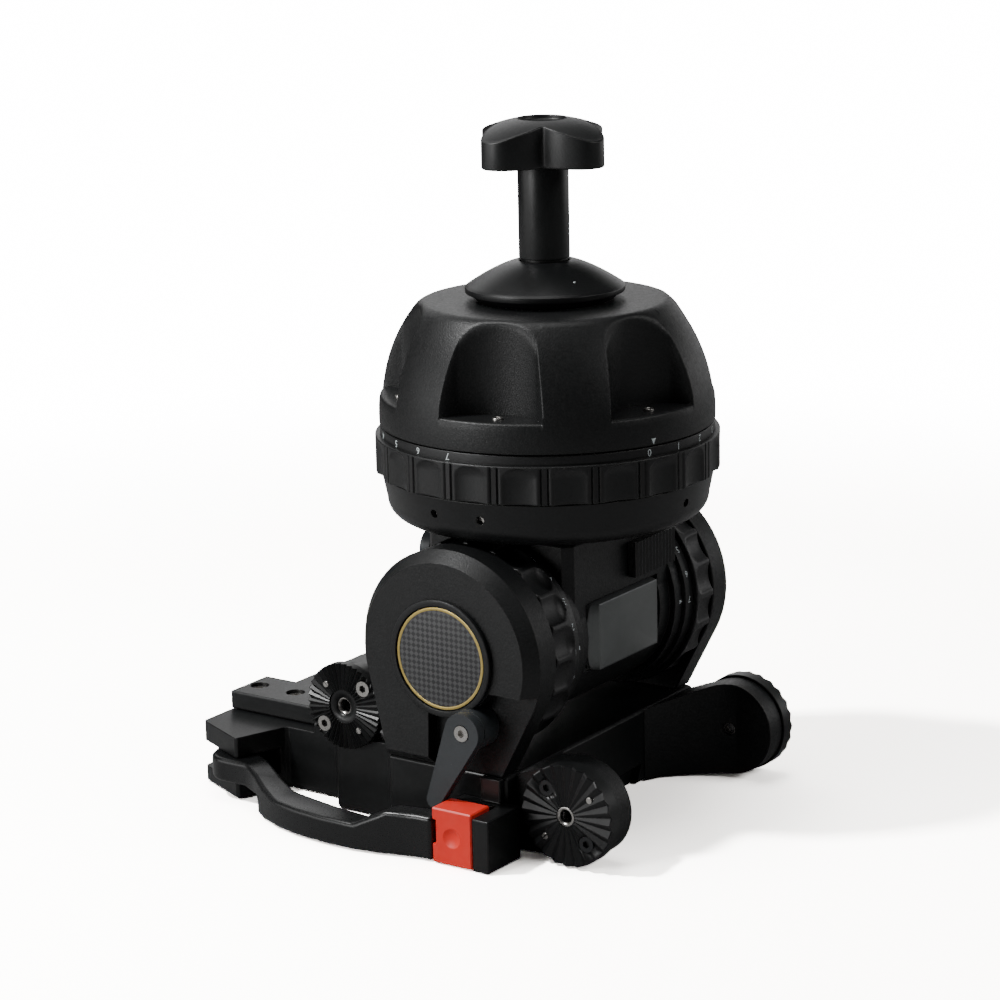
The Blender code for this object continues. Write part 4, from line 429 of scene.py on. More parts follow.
def unitObject(name, mesh, look, sharp=35.0):
    # Turns the faces outwards by the sign of the enclosed volume, and shades round faces smooth
    mesh.validate()
    shape = bmesh.new()
    shape.from_mesh(mesh)
    bmesh.ops.recalc_face_normals(shape, faces=shape.faces)
    if shape.calc_volume(signed=True) < 0:
        bmesh.ops.reverse_faces(shape, faces=shape.faces)
    shape.to_mesh(mesh)
    shape.free()
    made = bpy.data.objects.new(name, mesh)
    bpy.context.scene.collection.objects.link(made)
    mesh.materials.clear()
    mesh.materials.append(materials[look])
    mesh.shade_smooth()
    mesh.set_sharp_from_angle(angle=radians(sharp))
    return made


def gridObject(name, grid, look, ring=False, sharp=35.0):
    # A sheet of points, rows by columns. The columns close on themselves. The rows do too if it is
    # a ring, and otherwise each end is closed by a fan about its middle
    rows, columns = grid.shape[:2]
    index = np.arange(rows * columns).reshape(rows, columns)
    points = grid.reshape(-1, 3) * mm
    low = index if ring else index[:-1]
    high = np.roll(index, -1, axis=0) if ring else index[1:]
    quads = np.stack([low, np.roll(low, -1, 1), np.roll(high, -1, 1), high], axis=-1).reshape(-1, 4)
    faces = quads.tolist()
    if not ring:
        ends = np.stack([grid[0].mean(axis=0), grid[-1].mean(axis=0)]) * mm
        points = np.concatenate([points, ends])
        first, last = index[0], index[-1]
        hubs = np.full(columns, rows * columns)
        faces += np.stack([hubs, np.roll(first, -1), first], axis=-1).tolist()
        faces += np.stack([hubs + 1, last, np.roll(last, -1)], axis=-1).tolist()
    mesh = bpy.data.meshes.new(name)
    mesh.from_pydata(points.tolist(), [], faces)
    shape = bmesh.new()
    shape.from_mesh(mesh)
    bmesh.ops.remove_doubles(shape, verts=shape.verts, dist=2e-6)
    shape.to_mesh(mesh)
    shape.free()
    return unitObject(name, mesh, look, sharp)


def rounded(corners, steps=5):
    # A profile with its corners rounded: each corner is (radius, height, rounding)
    corners = np.array(corners, dtype=float)
    made = []
    for i, (r, h, size) in enumerate(corners):
        here = np.array([r, h])
        if size <= 0:
            made.append(here)
            continue
        before, after = corners[i - 1][:2] - here, corners[(i + 1) % len(corners)][:2] - here
        before, after = before / np.hypot(*before), after / np.hypot(*after)
        half = acos(float(np.clip(before @ after, -1, 1))) / 2
        cutBack = size / np.tan(half)
        middle = here + (before + after) / np.hypot(*(before + after)) * size / sin(half)
        start, end = here + before * cutBack - middle, here + after * cutBack - middle
        a0 = atan2(start[1], start[0])
        sweep = (atan2(end[1], end[0]) - a0 + pi) % (2 * pi) - pi
        turns = a0 + sweep * np.linspace(0, 1, steps)
        made.extend(middle + size * np.stack([np.cos(turns), np.sin(turns)], axis=-1))
    return np.array(made)


def spun(profile, columns, along="Z", centre=(0, 0, 0), side=1, shape=None):
    # The grid of a profile of (radius, height) turned about an axis. shape changes the radii first
    turn = np.linspace(0, 2 * pi, columns, endpoint=False)
    radius = np.repeat(profile[:, :1], columns, axis=1)
    height = np.repeat(profile[:, 1:2], columns, axis=1)
    if shape:
        radius, height = shape(radius, height, turn[None, :])
    u, v = radius * np.cos(turn), radius * np.sin(turn)
    parts = (u, v, height) if along == "Z" else (side * height, u, v)
    return np.stack(parts, axis=-1) + np.array(centre)


def bake(piece):
    # Swaps a piece's modifiers for the mesh that they make
    bpy.context.view_layer.update()
    graph = bpy.context.evaluated_depsgraph_get()
    mesh = bpy.data.meshes.new_from_object(piece.evaluated_get(graph))
    old = piece.data
    piece.modifiers.clear()
    piece.data = mesh
    bpy.data.meshes.remove(old)
    mesh.name = piece.name
    return piece


def carve(piece, cutters, operation="DIFFERENCE"):
    for cutter in cutters:
        made = piece.modifiers.new("carve", "BOOLEAN")
        made.operation, made.solver, made.object = operation, "EXACT", cutter
    bake(piece)
    for cutter in cutters:
        bpy.data.objects.remove(cutter, do_unlink=True)
    return piece


def soften(piece, width, segments=2, angle=30.0, sharp=None):
    made = piece.modifiers.new("soften", "BEVEL")
    made.width, made.segments = width * mm, segments
    made.limit_method, made.angle_limit = "ANGLE", radians(angle)
    made.miter_outer = "MITER_ARC"
    flat = piece.modifiers.new("flatFaces", "WEIGHTED_NORMAL")
    flat.keep_sharp = True
    return piece


def pin(name, start, end, radius, look, sides=32):
    # A plain round bar between two points, in millimetres, for cutters and pins
    start, end = Vector(start), Vector(end)
    along = end - start
    frameTurn = along.to_track_quat("Z", "Y").to_matrix()
    turn = np.linspace(0, 2 * pi, sides, endpoint=False)
    ring = np.stack([radius * np.cos(turn), radius * np.sin(turn), 0 * turn], axis=-1)
    grid = np.stack([ring, ring + [0, 0, along.length]]) @ np.array(frameTurn).T + np.array(start)
    return gridObject(name, grid, look)


def prism(name, outline, low, high, along, look):
    # A flat outline carried between two heights along an axis
    outline = np.array(outline, dtype=float)
    grid = np.stack([levelOf(outline, h, along) for h in (low, high)])
    mesh = bpy.data.meshes.new(name)
    count = len(outline)
    ring = list(range(count))
    faces = [ring[::-1], [i + count for i in ring]]
    faces += [[i, (i + 1) % count, (i + 1) % count + count, i + count] for i in ring]
    mesh.from_pydata((grid.reshape(-1, 3) * mm).tolist(), [], faces)
    return unitObject(name, mesh, look)


def levelOf(outline, height, along):
    # Outline points are (y, z) along X, (x, z) along Y and (x, y) along Z
    flat = np.full(len(outline), height)
    order = {"X": (flat, outline[:, 0], outline[:, 1]), "Y": (outline[:, 0], flat, outline[:, 1])}
    return np.stack(order.get(along, (outline[:, 0], outline[:, 1], flat)), axis=-1)


def copyOf(name, node, look, width=0.5, segments=2, angle=30.0):
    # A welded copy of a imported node, its flat faces whole and its edges softened
    shape = bmesh.new()
    shape.from_mesh(nodes[node].data)
    bmesh.ops.remove_doubles(shape, verts=shape.verts, dist=4e-6)
    bmesh.ops.dissolve_limit(shape, angle_limit=radians(0.6), verts=shape.verts, edges=shape.edges)
    mesh = bpy.data.meshes.new(name)
    shape.to_mesh(mesh)
    shape.free()
    made = unitObject(name, mesh, look)
    if width:
        soften(made, width, segments, angle)
    return made


def settle(piece, body, *stoodFor, slot=None):
    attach(piece, body)
    if stoodFor:
        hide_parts(*stoodFor)
    return piece


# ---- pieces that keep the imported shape, with softened edges ----

softCopies = {
    # node: (body, look, edge, segments)
    "platform_deck": ("platform", "satinBlack", 0.45, 2),
    "latch_housing": ("platform", "satinBlack", 0.6, 2),
    "tail_block": ("platform", "satinBlack", 0.4, 2),
    "front_bracket_near": ("platform", "powderBlack", 0.7, 3),
    "front_bracket_far": ("platform", "powderBlack", 0.7, 3),
    "rear_bracket_near": ("platform", "satinBlack", 0.5, 2),
    "rear_bracket_far": ("platform", "satinBlack", 0.5, 2),
    "camera_plate": ("camera_plate", "satinBlack", 0.3, 2),
    "tilt_lock_lever": ("tilt_lock", "leverGrey", 0.7, 3),
    "pan_lock_lever": ("pan_lock", "leverGrey", 0.7, 3),
    "tilt_housing": ("tilt_head", "powderBlack", 0.5, 2),
    "ribbed_cover": ("tilt_head", "plasticBlack", 0.15, 2),
}
for node, (body, look, width, segments) in softCopies.items():
    settle(copyOf(node + "_soft", node, look, width, segments), body, node)

# The lever's edges roll over further than the least of its plan's steps
lever = copyOf("release_lever_soft", "release_lever", "glossBlack", 2.0, 5)
lever.modifiers["soften"].use_clamp_overlap = False
settle(lever, "release_lever", "release_lever")

# The latch, its thumb dimple cut again with a finer ball so that it reads as round
dimple = {"reach": 4.5, "depth": 1.1, "place": (-103.0, -15.95, 13.1), "columns": 96, "rows": 48}


def makeLatch(s):
    latch = copyOf("release_latch_soft", "release_latch", "latchRed", 0)
    size = (s["reach"] ** 2 + s["depth"] ** 2) / (2 * s["depth"])
    rise = np.linspace(-pi / 2, pi / 2, s["rows"])
    turn = np.linspace(0, 2 * pi, s["columns"], endpoint=False)
    grid = np.stack([
        size * np.cos(rise)[:, None] * np.cos(turn), size * np.cos(rise)[:, None] * np.sin(turn),
        size * np.sin(rise)[:, None] + 0 * turn,
    ], axis=-1)
    x, y, z = s["place"]
    ball = gridObject("dimple_ball", grid + np.array([x - size + s["depth"], y, z]), "latchRed")
    carve(latch, [ball])
    latch.data.shade_smooth()
    latch.data.set_sharp_from_angle(angle=radians(14.0))
    return soften(latch, 0.35, 2, 50.0)


settle(makeLatch(dimple), "release_latch", "release_latch")
print("stage: softened copies made")


# ---- half ball ----

ballShape = {
    "radius": 75.0, "centre": 180.5, "skirt": -4.0, "top": 50.1, "shoulder": 7.0,
    "pockets": 6, "pocketTurn": 193.9, "halfWidth": 22.0, "depth": 12.8, "pocketCentre": 68.8, "floor": 9.4,
    "edge": 2.4, "lip": 1.5,
}


def pocketWall(turn, s):
    # How far out a pocket's back wall is, by the angle from the pocket's middle: the nearer root
    # of the ray with the ellipse, flared past the side so that the edge rolls over
    side = radians(16.4)
    inner = np.minimum(np.abs(turn), side)
    a = (np.cos(inner) / s["depth"]) ** 2 + (np.sin(inner) / s["halfWidth"]) ** 2
    b = -2 * s["pocketCentre"] * np.cos(inner) / s["depth"] ** 2
    c = (s["pocketCentre"] / s["depth"]) ** 2 - 1
    wall = (-b - np.sqrt(np.maximum(b * b - 4 * a * c, 0))) / (2 * a)
    return wall + np.maximum(np.abs(turn) - side, 0) * 290.0


def softMin(a, b, size):
    # The lesser of two, blended where they come within size of each other
    near = np.maximum(size - np.abs(a - b), 0) / size
    return np.minimum(a, b) - near * near * size / 4


def makeBall(s):
    sector = np.concatenate([
        np.linspace(0, 13.5, 14, endpoint=False), np.linspace(13.5, 19.5, 19, endpoint=False), np.linspace(19.5, 30, 9),
    ])
    sector = np.concatenate([-sector[:0:-1], sector[:-1]])
    turns = np.radians(np.concatenate([sector + 60.0 * k + s["pocketTurn"] for k in range(s["pockets"])]))
    fromPocket = np.radians(np.tile(sector, s["pockets"]))[None, :]
    centreHeight = s["top"] - s["shoulder"]
    centreRadius = sqrt((s["radius"] - s["shoulder"]) ** 2 - centreHeight**2)
    touch = atan2(centreHeight, centreRadius)
    shoulder = np.linspace(pi / 2, touch, 10)
    floorTurn = asin((s["floor"] + 3.0) / s["radius"])
    upper = np.linspace(touch, floorTurn, 30)[1:]
    arcR = np.concatenate([centreRadius + s["shoulder"] * np.cos(shoulder), s["radius"] * np.cos(upper)])
    arcZ = np.concatenate([centreHeight + s["shoulder"] * np.sin(shoulder), s["radius"] * np.sin(upper)])
    wall = pocketWall(fromPocket, s)
    rim = sqrt(s["radius"] ** 2 - s["floor"] ** 2)
    inPocket = np.clip((rim - wall) / 1.5, 0, 1)
    inPocket = inPocket * inPocket * (3 - 2 * inPocket)
    # Rows above the floor: the sphere, or the pocket's wall where that lies further in
    stretch = (arcZ[:, None] - s["top"]) * (s["top"] - s["floor"]) / (s["top"] - s["floor"] - 3.0) + s["top"]
    upperZ = arcZ[:, None] * (1 - inPocket) + stretch * inPocket
    ballR = np.sqrt(np.maximum(s["radius"] ** 2 - upperZ**2, 1))
    ballR = np.where(arcZ[:, None] > s["radius"] * sin(touch), arcR[:, None], ballR)
    upperR = softMin(ballR, wall, s["edge"])
    # Rows across the floor, out to the lip
    share = np.linspace(0, 1, 8)[1:, None]
    floorR = upperR[-1] + (rim - s["lip"] - upperR[-1]) * share
    spread = s["floor"] + 3.0 - 3.0 * share
    floorZ = s["floor"] * inPocket + spread * (1 - inPocket)
    floorR = floorR * inPocket + np.sqrt(s["radius"] ** 2 - spread**2) * (1 - inPocket)
    lipTurn = np.linspace(pi / 2, 0, 6)[:, None]
    lipR = rim - s["lip"] + s["lip"] * np.cos(lipTurn)
    lipZ = s["floor"] - s["lip"] + s["lip"] * np.sin(lipTurn)
    plainZ = np.linspace(s["floor"] - 0.2, s["floor"] - s["lip"], 6)[:, None]
    plainR = np.sqrt(s["radius"] ** 2 - plainZ**2)
    lipR, lipZ = lipR * inPocket + plainR * (1 - inPocket), lipZ * inPocket + plainZ * (1 - inPocket)
    lowTurn = np.linspace(asin((s["floor"] - s["lip"]) / s["radius"]), asin((s["skirt"] + 0.5) / s["radius"]), 12)[1:, None]
    lowR, lowZ = s["radius"] * np.cos(lowTurn) + 0 * wall, s["radius"] * np.sin(lowTurn) + 0 * wall
    seat = rounded([(5.3, s["top"] - 12, 0), (5.3, s["top"], 0.4), (centreRadius - 4, s["top"], 0)])
    under = rounded([
        (74.6, s["skirt"], 0.3), (50, s["skirt"], 0), (50, 20, 0), (24.8, 20, 0), (24.8, s["skirt"], 0),
        (21.3, s["skirt"], 0), (21.3, 11.3, 0),
    ])
    wide = lambda rows: np.repeat(rows[:, None], len(turns), axis=1)
    radius = np.concatenate([wide(seat[:, 0]), upperR, floorR, lipR, lowR, wide(under[:, 0])])
    height = np.concatenate([wide(seat[:, 1]), upperZ, floorZ, lipZ, lowZ, wide(under[:, 1])]) + s["centre"]
    grid = np.stack([radius * np.cos(turns), radius * np.sin(turns), height], axis=-1)
    return gridObject("half_ball_skin", grid, "powderBlack", sharp=50.0)


settle(makeBall(ballShape), "ball", "half_ball")
print("stage: half ball made")


# ---- turned pieces ----

baseShape = {"top": 154.7, "floor": 134.9, "topRadius": 74.5, "lowRadius": 72.2, "floorRadius": 64.0, "round": 8.5}


def makeBase(s):
    bend = np.linspace(pi / 2, 0, 12)
    corner = np.stack([
        s["floorRadius"] + (s["lowRadius"] - s["floorRadius"]) * np.sin(bend),
        s["floor"] + s["round"] * (1 - np.cos(bend)),
    ], axis=-1)
    top = rounded([(14.3, s["top"], 0), (s["topRadius"], s["top"], 0.5), (s["lowRadius"], s["floor"] + s["round"], 0)])
    profile = np.concatenate([top[:-1], corner, [[14.3, s["floor"]]]])
    base = gridObject("pan_base_turned", spun(profile, 240), "satinBlack", ring=True)
    holes = []
    for turn in (171.1, 190.1, 268.9):
        way = Vector((cos(radians(turn)), sin(radians(turn)), 0))
        lift = Vector((0, 0, s["floor"] + 11.8))
        holes.append(pin("hole", way * 68.2 + lift, way * 78 + lift, 1.9, "satinBlack", 24))
    return soften(carve(base, holes), 0.25, 2, 50.0)


settle(makeBase(baseShape), "tilt_head", "pan_base")

capShape = {"floor": 230.9, "rim": 5.7, "rise": 11.4, "radius": 35.4, "bore": 11.2, "wall": 5.0}


def makeCap(s):
    share = np.linspace(0, 1, 22)
    dome = np.stack([
        s["bore"] + 0.6 + (s["radius"] - 1.1 - s["bore"]) * share,
        s["floor"] + s["rim"] + 0.35 + s["rise"] * (1 - share**1.4) * 0.97,
    ], axis=-1)
    rimTop = s["floor"] + s["rim"]
    edge = rounded([(s["radius"] - 1.4, rimTop + 0.5, 0), (s["radius"], rimTop, 0.5), (s["radius"], s["floor"], 0.4)])
    inside = np.array([
        (s["radius"] - s["wall"], s["floor"]), (s["radius"] - s["wall"], rimTop - 2.5),
        (s["bore"] + 2.5, rimTop + s["rise"] - 7.5), (s["bore"], rimTop + s["rise"] - 7.5), (s["bore"], rimTop + s["rise"] - 0.4),
    ])
    profile = np.concatenate([dome, edge[1:], inside])
    return gridObject("clamp_cap_turned", spun(profile, 160), "satinBlack", ring=True)


settle(makeCap(capShape), "clamp_cap", "clamp_cap")

sleeveProfile = rounded([
    (5.5, 290.2, 0), (11.3, 290.2, 0.4), (11.3, 249.0, 0.5), (10.4, 249.0, 0), (10.4, 243.1, 0.3), (5.5, 243.1, 0),
])
settle(gridObject("tie_down_sleeve_turned", spun(sleeveProfile, 96), "satinBlack", ring=True), "tie_down", "tie_down_sleeve")
print("stage: turned pieces made")


# ---- dial rings ----

panRingShape = {"radius": 77.0, "band": 74.7, "floor": 155.0, "shoulder": 172.0, "top": 176.2, "inner": 65.0,
                "count": 22, "half": 7.4, "depth": 1.7, "arch": 166.4, "archTop": 171.3,
                "grooveAt": 1.6, "grooveHalf": 0.5, "grooveDepth": 0.8, "turn": 0.0}


def gripShape(s, tall=True):
    # Scallops with an arched end, and a pair of grooves on each ridge between two of them
    period = 2 * pi / s["count"]

    def shape(radius, height, turn):
        across = ((turn - radians(s["turn"])) % period - period / 2) * s["radius"]
        over = np.clip((height - s["arch"]) / (s["archTop"] - s["arch"]), 0, 1)
        scoop = np.clip(1 - (across / s["half"]) ** 2 - over**2, 0, 1)
        fromRidge = period * s["radius"] / 2 - np.abs(across)
        groove = np.clip(1 - ((fromRidge - s["grooveAt"]) / s["grooveHalf"]) ** 2, 0, 1)
        fade = np.clip((s["archTop"] + 0.4 - height) / 0.8, 0, 1)
        sunk = s["depth"] * scoop**0.75 + s["grooveDepth"] * groove * fade
        outside = radius > s["band"] + 0.05
        return np.where(outside, np.maximum(radius - sunk, s["band"] - 0.8), radius), height

    return shape


def makePanRing(s):
    heights = np.concatenate([np.linspace(s["floor"] + 0.8, s["arch"], 6), np.linspace(s["arch"], s["archTop"] - 0.1, 14)[1:]])
    grip = np.stack([np.full(len(heights), s["radius"]), heights], axis=-1)
    low = rounded([(s["inner"], s["floor"], 0), (s["radius"], s["floor"], 0.7), (s["radius"], s["arch"], 0)])
    high = rounded([(s["radius"], s["arch"], 0), (s["radius"], s["shoulder"], 0.6), (s["band"], s["shoulder"], 0),
                    (s["band"], s["top"], 0.35), (s["inner"], s["top"], 0)])
    profile = np.concatenate([low[:-1], grip, high[1:]])
    return gridObject("pan_drag_ring_grip", spun(profile, s["count"] * 44, shape=gripShape(s)), "plasticBlack", ring=True, sharp=40.0)


settle(makePanRing(panRingShape), "pan_ring", "pan_drag_ring")

tiltRingShape = {"radius": 47.2, "band": 44.7, "floor": 65.1, "shoulder": 50.7, "top": 44.5, "inner": 37.0,
                 "count": 20, "half": 6.4, "depth": 2.0, "arch": -56.0, "archTop": -51.2,
                 "grooveAt": 0.0, "grooveHalf": 0.4, "grooveDepth": 0.0, "turn": 0.0}


def makeTiltRing(name, s, side):
    # Along the tilt axis outwards: the number band first, then the grip. Heights are negated so that
    # the arches end towards the band, as on the pan ring
    heights = -np.concatenate([np.linspace(s["floor"] - 0.8, -s["arch"], 6), np.linspace(-s["arch"], -s["archTop"] + 0.1, 10)[1:]])
    grip = np.stack([np.full(len(heights), s["radius"]), heights], axis=-1)
    low = rounded([(s["inner"], -s["floor"], 0), (s["radius"], -s["floor"], 0.7), (s["radius"], s["arch"], 0)])
    high = rounded([(s["radius"], s["arch"], 0), (s["radius"], -s["shoulder"], 0.6), (s["band"], -s["shoulder"], 0),
                    (s["band"], -s["top"], 0.3), (s["inner"], -s["top"], 0)])
    profile = np.concatenate([low[:-1], grip, high[1:]])
    grid = spun(profile, s["count"] * 28, "X", (0, 0, 86.8), -side, gripShape(s))
    return gridObject(name, grid, "plasticBlack", ring=True, sharp=40.0)


settle(makeTiltRing("near_tilt_ring_grip", tiltRingShape, -1), "near_ring", "near_tilt_ring")
settle(makeTiltRing("far_tilt_ring_grip", tiltRingShape, 1), "far_ring", "far_tilt_ring")
print("stage: dial rings made")


# ---- tie-down knob ----

knobShape = {"floor": 290.5, "height": 11.7, "lobes": 4, "turn": -11.0, "lobeCentre": 24.3, "lobeRadius": 9.6,
             "waist": 18.0, "dome": 68.0, "recess": 10.5, "recessDepth": 3.0, "edge": 1.0}


def knobReach(turn, s):
    # The outline's radius by angle: lobe arcs with a hollow between them, smoothed a little
    local = np.linspace(-pi * 3 / 8, pi * 3 / 8, 40)
    x = s["lobeCentre"] + s["lobeRadius"] * np.cos(local)
    y = s["lobeRadius"] * np.sin(local)
    angles = np.concatenate([[-pi / 4], np.arctan2(y, x), [pi / 4]])
    reach = np.concatenate([[s["waist"]], np.hypot(x, y), [s["waist"]]])
    around = (turn - radians(s["turn"]) + pi / 4) % (pi / 2) - pi / 4
    plain = np.interp(around, angles, reach)
    kernel = np.hanning(23)
    return np.convolve(np.concatenate([plain[-11:], plain, plain[:11]]), kernel / kernel.sum(), mode="valid")


def makeKnob(s):
    turn = np.linspace(0, 2 * pi, 480, endpoint=False)
    reach = knobReach(turn, s)
    farthest = s["lobeCentre"] + s["lobeRadius"]
    crown = s["floor"] + s["height"] - 0.1 + s["dome"] - sqrt(s["dome"] ** 2 - farthest**2)
    domeAt = lambda r: crown - s["dome"] + np.sqrt(s["dome"] ** 2 - r**2)
    bend = np.linspace(0, pi / 2, 6)[:, None]
    lowR, lowZ = reach - s["edge"] * (1 - np.sin(bend)), s["floor"] + s["edge"] * (1 - np.cos(bend)) + 0 * reach
    sideTop = domeAt(reach - s["edge"]) - s["edge"]
    highR, highZ = reach - s["edge"] * (1 - np.cos(bend)), sideTop + s["edge"] * np.sin(bend)
    share = np.linspace(1, 0, 14)[1:, None]
    topR = s["recess"] + 0.7 + (reach - s["edge"] - s["recess"] - 0.7) * share
    topZ = domeAt(topR)
    mouth = domeAt(np.array(s["recess"]))
    roll = np.linspace(0, pi / 2, 5)[:, None]
    mouthR = s["recess"] + 0.7 - 0.7 * np.sin(roll) + 0 * reach
    mouthZ = mouth - 0.7 * (1 - np.cos(roll)) + 0 * reach
    floorR = np.array([s["recess"], s["recess"] - 0.6, 3.0])[:, None] + 0 * reach
    floorZ = np.array([crown - s["recessDepth"] + 0.6, crown - s["recessDepth"], crown - s["recessDepth"]])[:, None] + 0 * reach
    radius = np.concatenate([0.3 * reach[None, :], lowR, highR, topR, mouthR, floorR])
    height = np.concatenate([0 * reach[None, :] + s["floor"], lowZ, highZ, topZ, mouthZ, floorZ])
    grid = np.stack([radius * np.cos(turn), radius * np.sin(turn), height], axis=-1)
    return gridObject("tie_down_knob_lobes", grid, "plasticBlack", sharp=50.0)


settle(makeKnob(knobShape), "tie_down", "tie_down_knob")
print("stage: knob made")


# ---- arms ----

armShape = {"axis": 86.8, "radius": 46.6, "frontFoot": 25.5, "rearFoot": 35.5, "floor": 35.3, "inner": 65.8,
            "outer": 77.8, "face": 84.3, "chamfer": 4.8, "bezel": 26.2, "badge": 23.0, "bezelTop": 86.7}


def armOutline(s, inset):
    # The side view moved inwards by inset: a circle about the tilt axis and its two tangents to the foot
    radius = s["radius"] - inset
    turns = []
    for foot, way in ((s["rearFoot"], 1), (-s["frontFoot"], -1)):
        reach = hypot(foot, s["floor"] - s["axis"])
        turns.append(atan2(s["floor"] - s["axis"], foot) + way * acos(s["radius"] / reach))
    start, end = turns[0], turns[1] % (2 * pi)
    around = np.linspace(start, end, 97)
    circle = np.stack([radius * np.cos(around), s["axis"] + radius * np.sin(around)], axis=-1)
    feet = []
    for turn, way in ((end, -1), (start, 1)):
        normal = np.array([cos(turn), sin(turn)])
        along = np.array([-normal[1], normal[0]]) * -way
        place = np.array([0, s["axis"]]) + normal * radius
        steps = (s["floor"] + inset - place[1]) / along[1]
        feet.append(place + along * steps)
    return np.concatenate([circle, [feet[0]], [feet[1]]])


def makeArm(name, s, side, withLock):
    levels = [(0, s["inner"]), (0, s["outer"]), (s["chamfer"], s["face"])]
    rows = np.stack([levelOf(armOutline(s, inset), side * x, "X") for inset, x in levels])
    made = gridObject(name, rows, "powderBlack", sharp=25.0)
    shape = bmesh.new()
    shape.from_mesh(made.data)
    bmesh.ops.dissolve_limit(shape, angle_limit=radians(0.3), verts=shape.verts, edges=shape.edges)
    shape.to_mesh(made.data)
    shape.free()
    cutters = [pin("seat", (side * 60, 0, s["axis"]), (side * 74.8, 0, s["axis"]), 12.3, "powderBlack", 64)]
    if withLock:
        rim = s["bezel"] + 0.6
        around = np.radians(np.linspace(-72, -152, 24))
        ring = np.stack([rim * np.cos(around), s["axis"] + rim * np.sin(around)], axis=-1)
        edge = [(-50.0, ring[-1][1]), (-50.0, 30.0), (9.2, 30.0)]
        cutters.append(prism("cutaway", np.concatenate([ring, edge]), -95, side * s["outer"], "X", "powderBlack"))
        cutters.append(pin("hub", (-95, -15.8, 57.8), (-77.8, -15.8, 57.8), 9.7, "powderBlack", 64))
    return soften(carve(made, cutters), 0.6, 3, 22.0)


nearArm = settle(makeArm("near_arm_plate", armShape, -1, True), "platform", "near_arm")
farArm = settle(makeArm("far_arm_plate", armShape, 1, False), "platform", "far_arm")


def makeBezel(name, s, side, filled):
    top = s["bezelTop"]
    inner = s["badge"] + 0.35
    corners = [(s["bezel"], s["face"] - 0.2, 0), (s["bezel"], top, 0.6)]
    if filled:
        corners += [(inner, top, 0.3), (inner - 0.3, top - 0.5, 0), (2.0, top - 0.5, 0)]
        profile = np.concatenate([rounded(corners), [[2.0, s["face"] - 0.2]]])
    else:
        corners += [(inner, top, 0.3), (inner, s["face"] - 0.2, 0)]
        profile = rounded(corners)
    return gridObject(name, spun(profile, 160, "X", (0, 0, s["axis"]), side), "powderBlack", ring=True)


settle(makeBezel("near_bezel", armShape, -1, False), "platform", slot="black_paint")
settle(makeBezel("far_bezel", armShape, 1, True), "platform", slot="black_paint")
badgeProfile = rounded([(1.0, 84.6, 0), (22.9, 84.6, 0), (22.9, 86.0, 0.3), (1.0, 86.0, 0)])
badge = gridObject("near_badge_face", spun(badgeProfile, 128, "X", (0, 0, 86.8), -1), "wovenBlack")
settle(badge, "platform", "near_badge")
goldProfile = rounded([(21.5, 85.9, 0), (22.75, 85.9, 0), (22.75, 86.15, 0.08), (21.5, 86.15, 0.08)], 3)
goldRing = gridObject("near_badge_ring", spun(goldProfile, 160, "X", (0, 0, 86.8), -1), "ringGold", ring=True)
settle(goldRing, "platform", slot="badge_face")
print("stage: arms made")


# ---- rosettes ----

rosetteShapes = {
    # how far along the tilt axis the teeth reach, the disc, its flat middle, its two screws and its two pins
    "front": {"centre": (-58.6, 23.6), "radius": 22.7, "out": 78.8, "thickness": 8.0, "count": 24, "hub": 4.6,
              "hubDrop": 0.7, "insert": 4.35, "insertDrop": 0.15, "screws": (132.0, 313.0), "pins": (38.0, 225.0),
              "pinCircle": 15.3, "inward": 12.0},
    "rear": {"centre": (62.7, 51.5), "radius": 19.9, "out": 75.1, "thickness": 5.0, "count": 40, "hub": 7.8,
             "hubDrop": 1.0, "insert": 3.9, "insertDrop": 1.6, "screws": (42.0, 221.0), "pins": (136.0, 310.0),
             "pinCircle": 13.0, "inward": 8.0},
}
rosetteTeeth = {"depth": 1.6, "bore": 3.0, "screwCircle": 14.8, "screwBore": 3.9, "screwDepth": 2.4, "pin": 1.45}


def onFace(s, turn, circle):
    # A place on a rosette's face, as (y, z), by the angle from the front and its distance from the middle
    return s["centre"][0] - circle * cos(radians(turn)), s["centre"][1] + circle * sin(radians(turn))


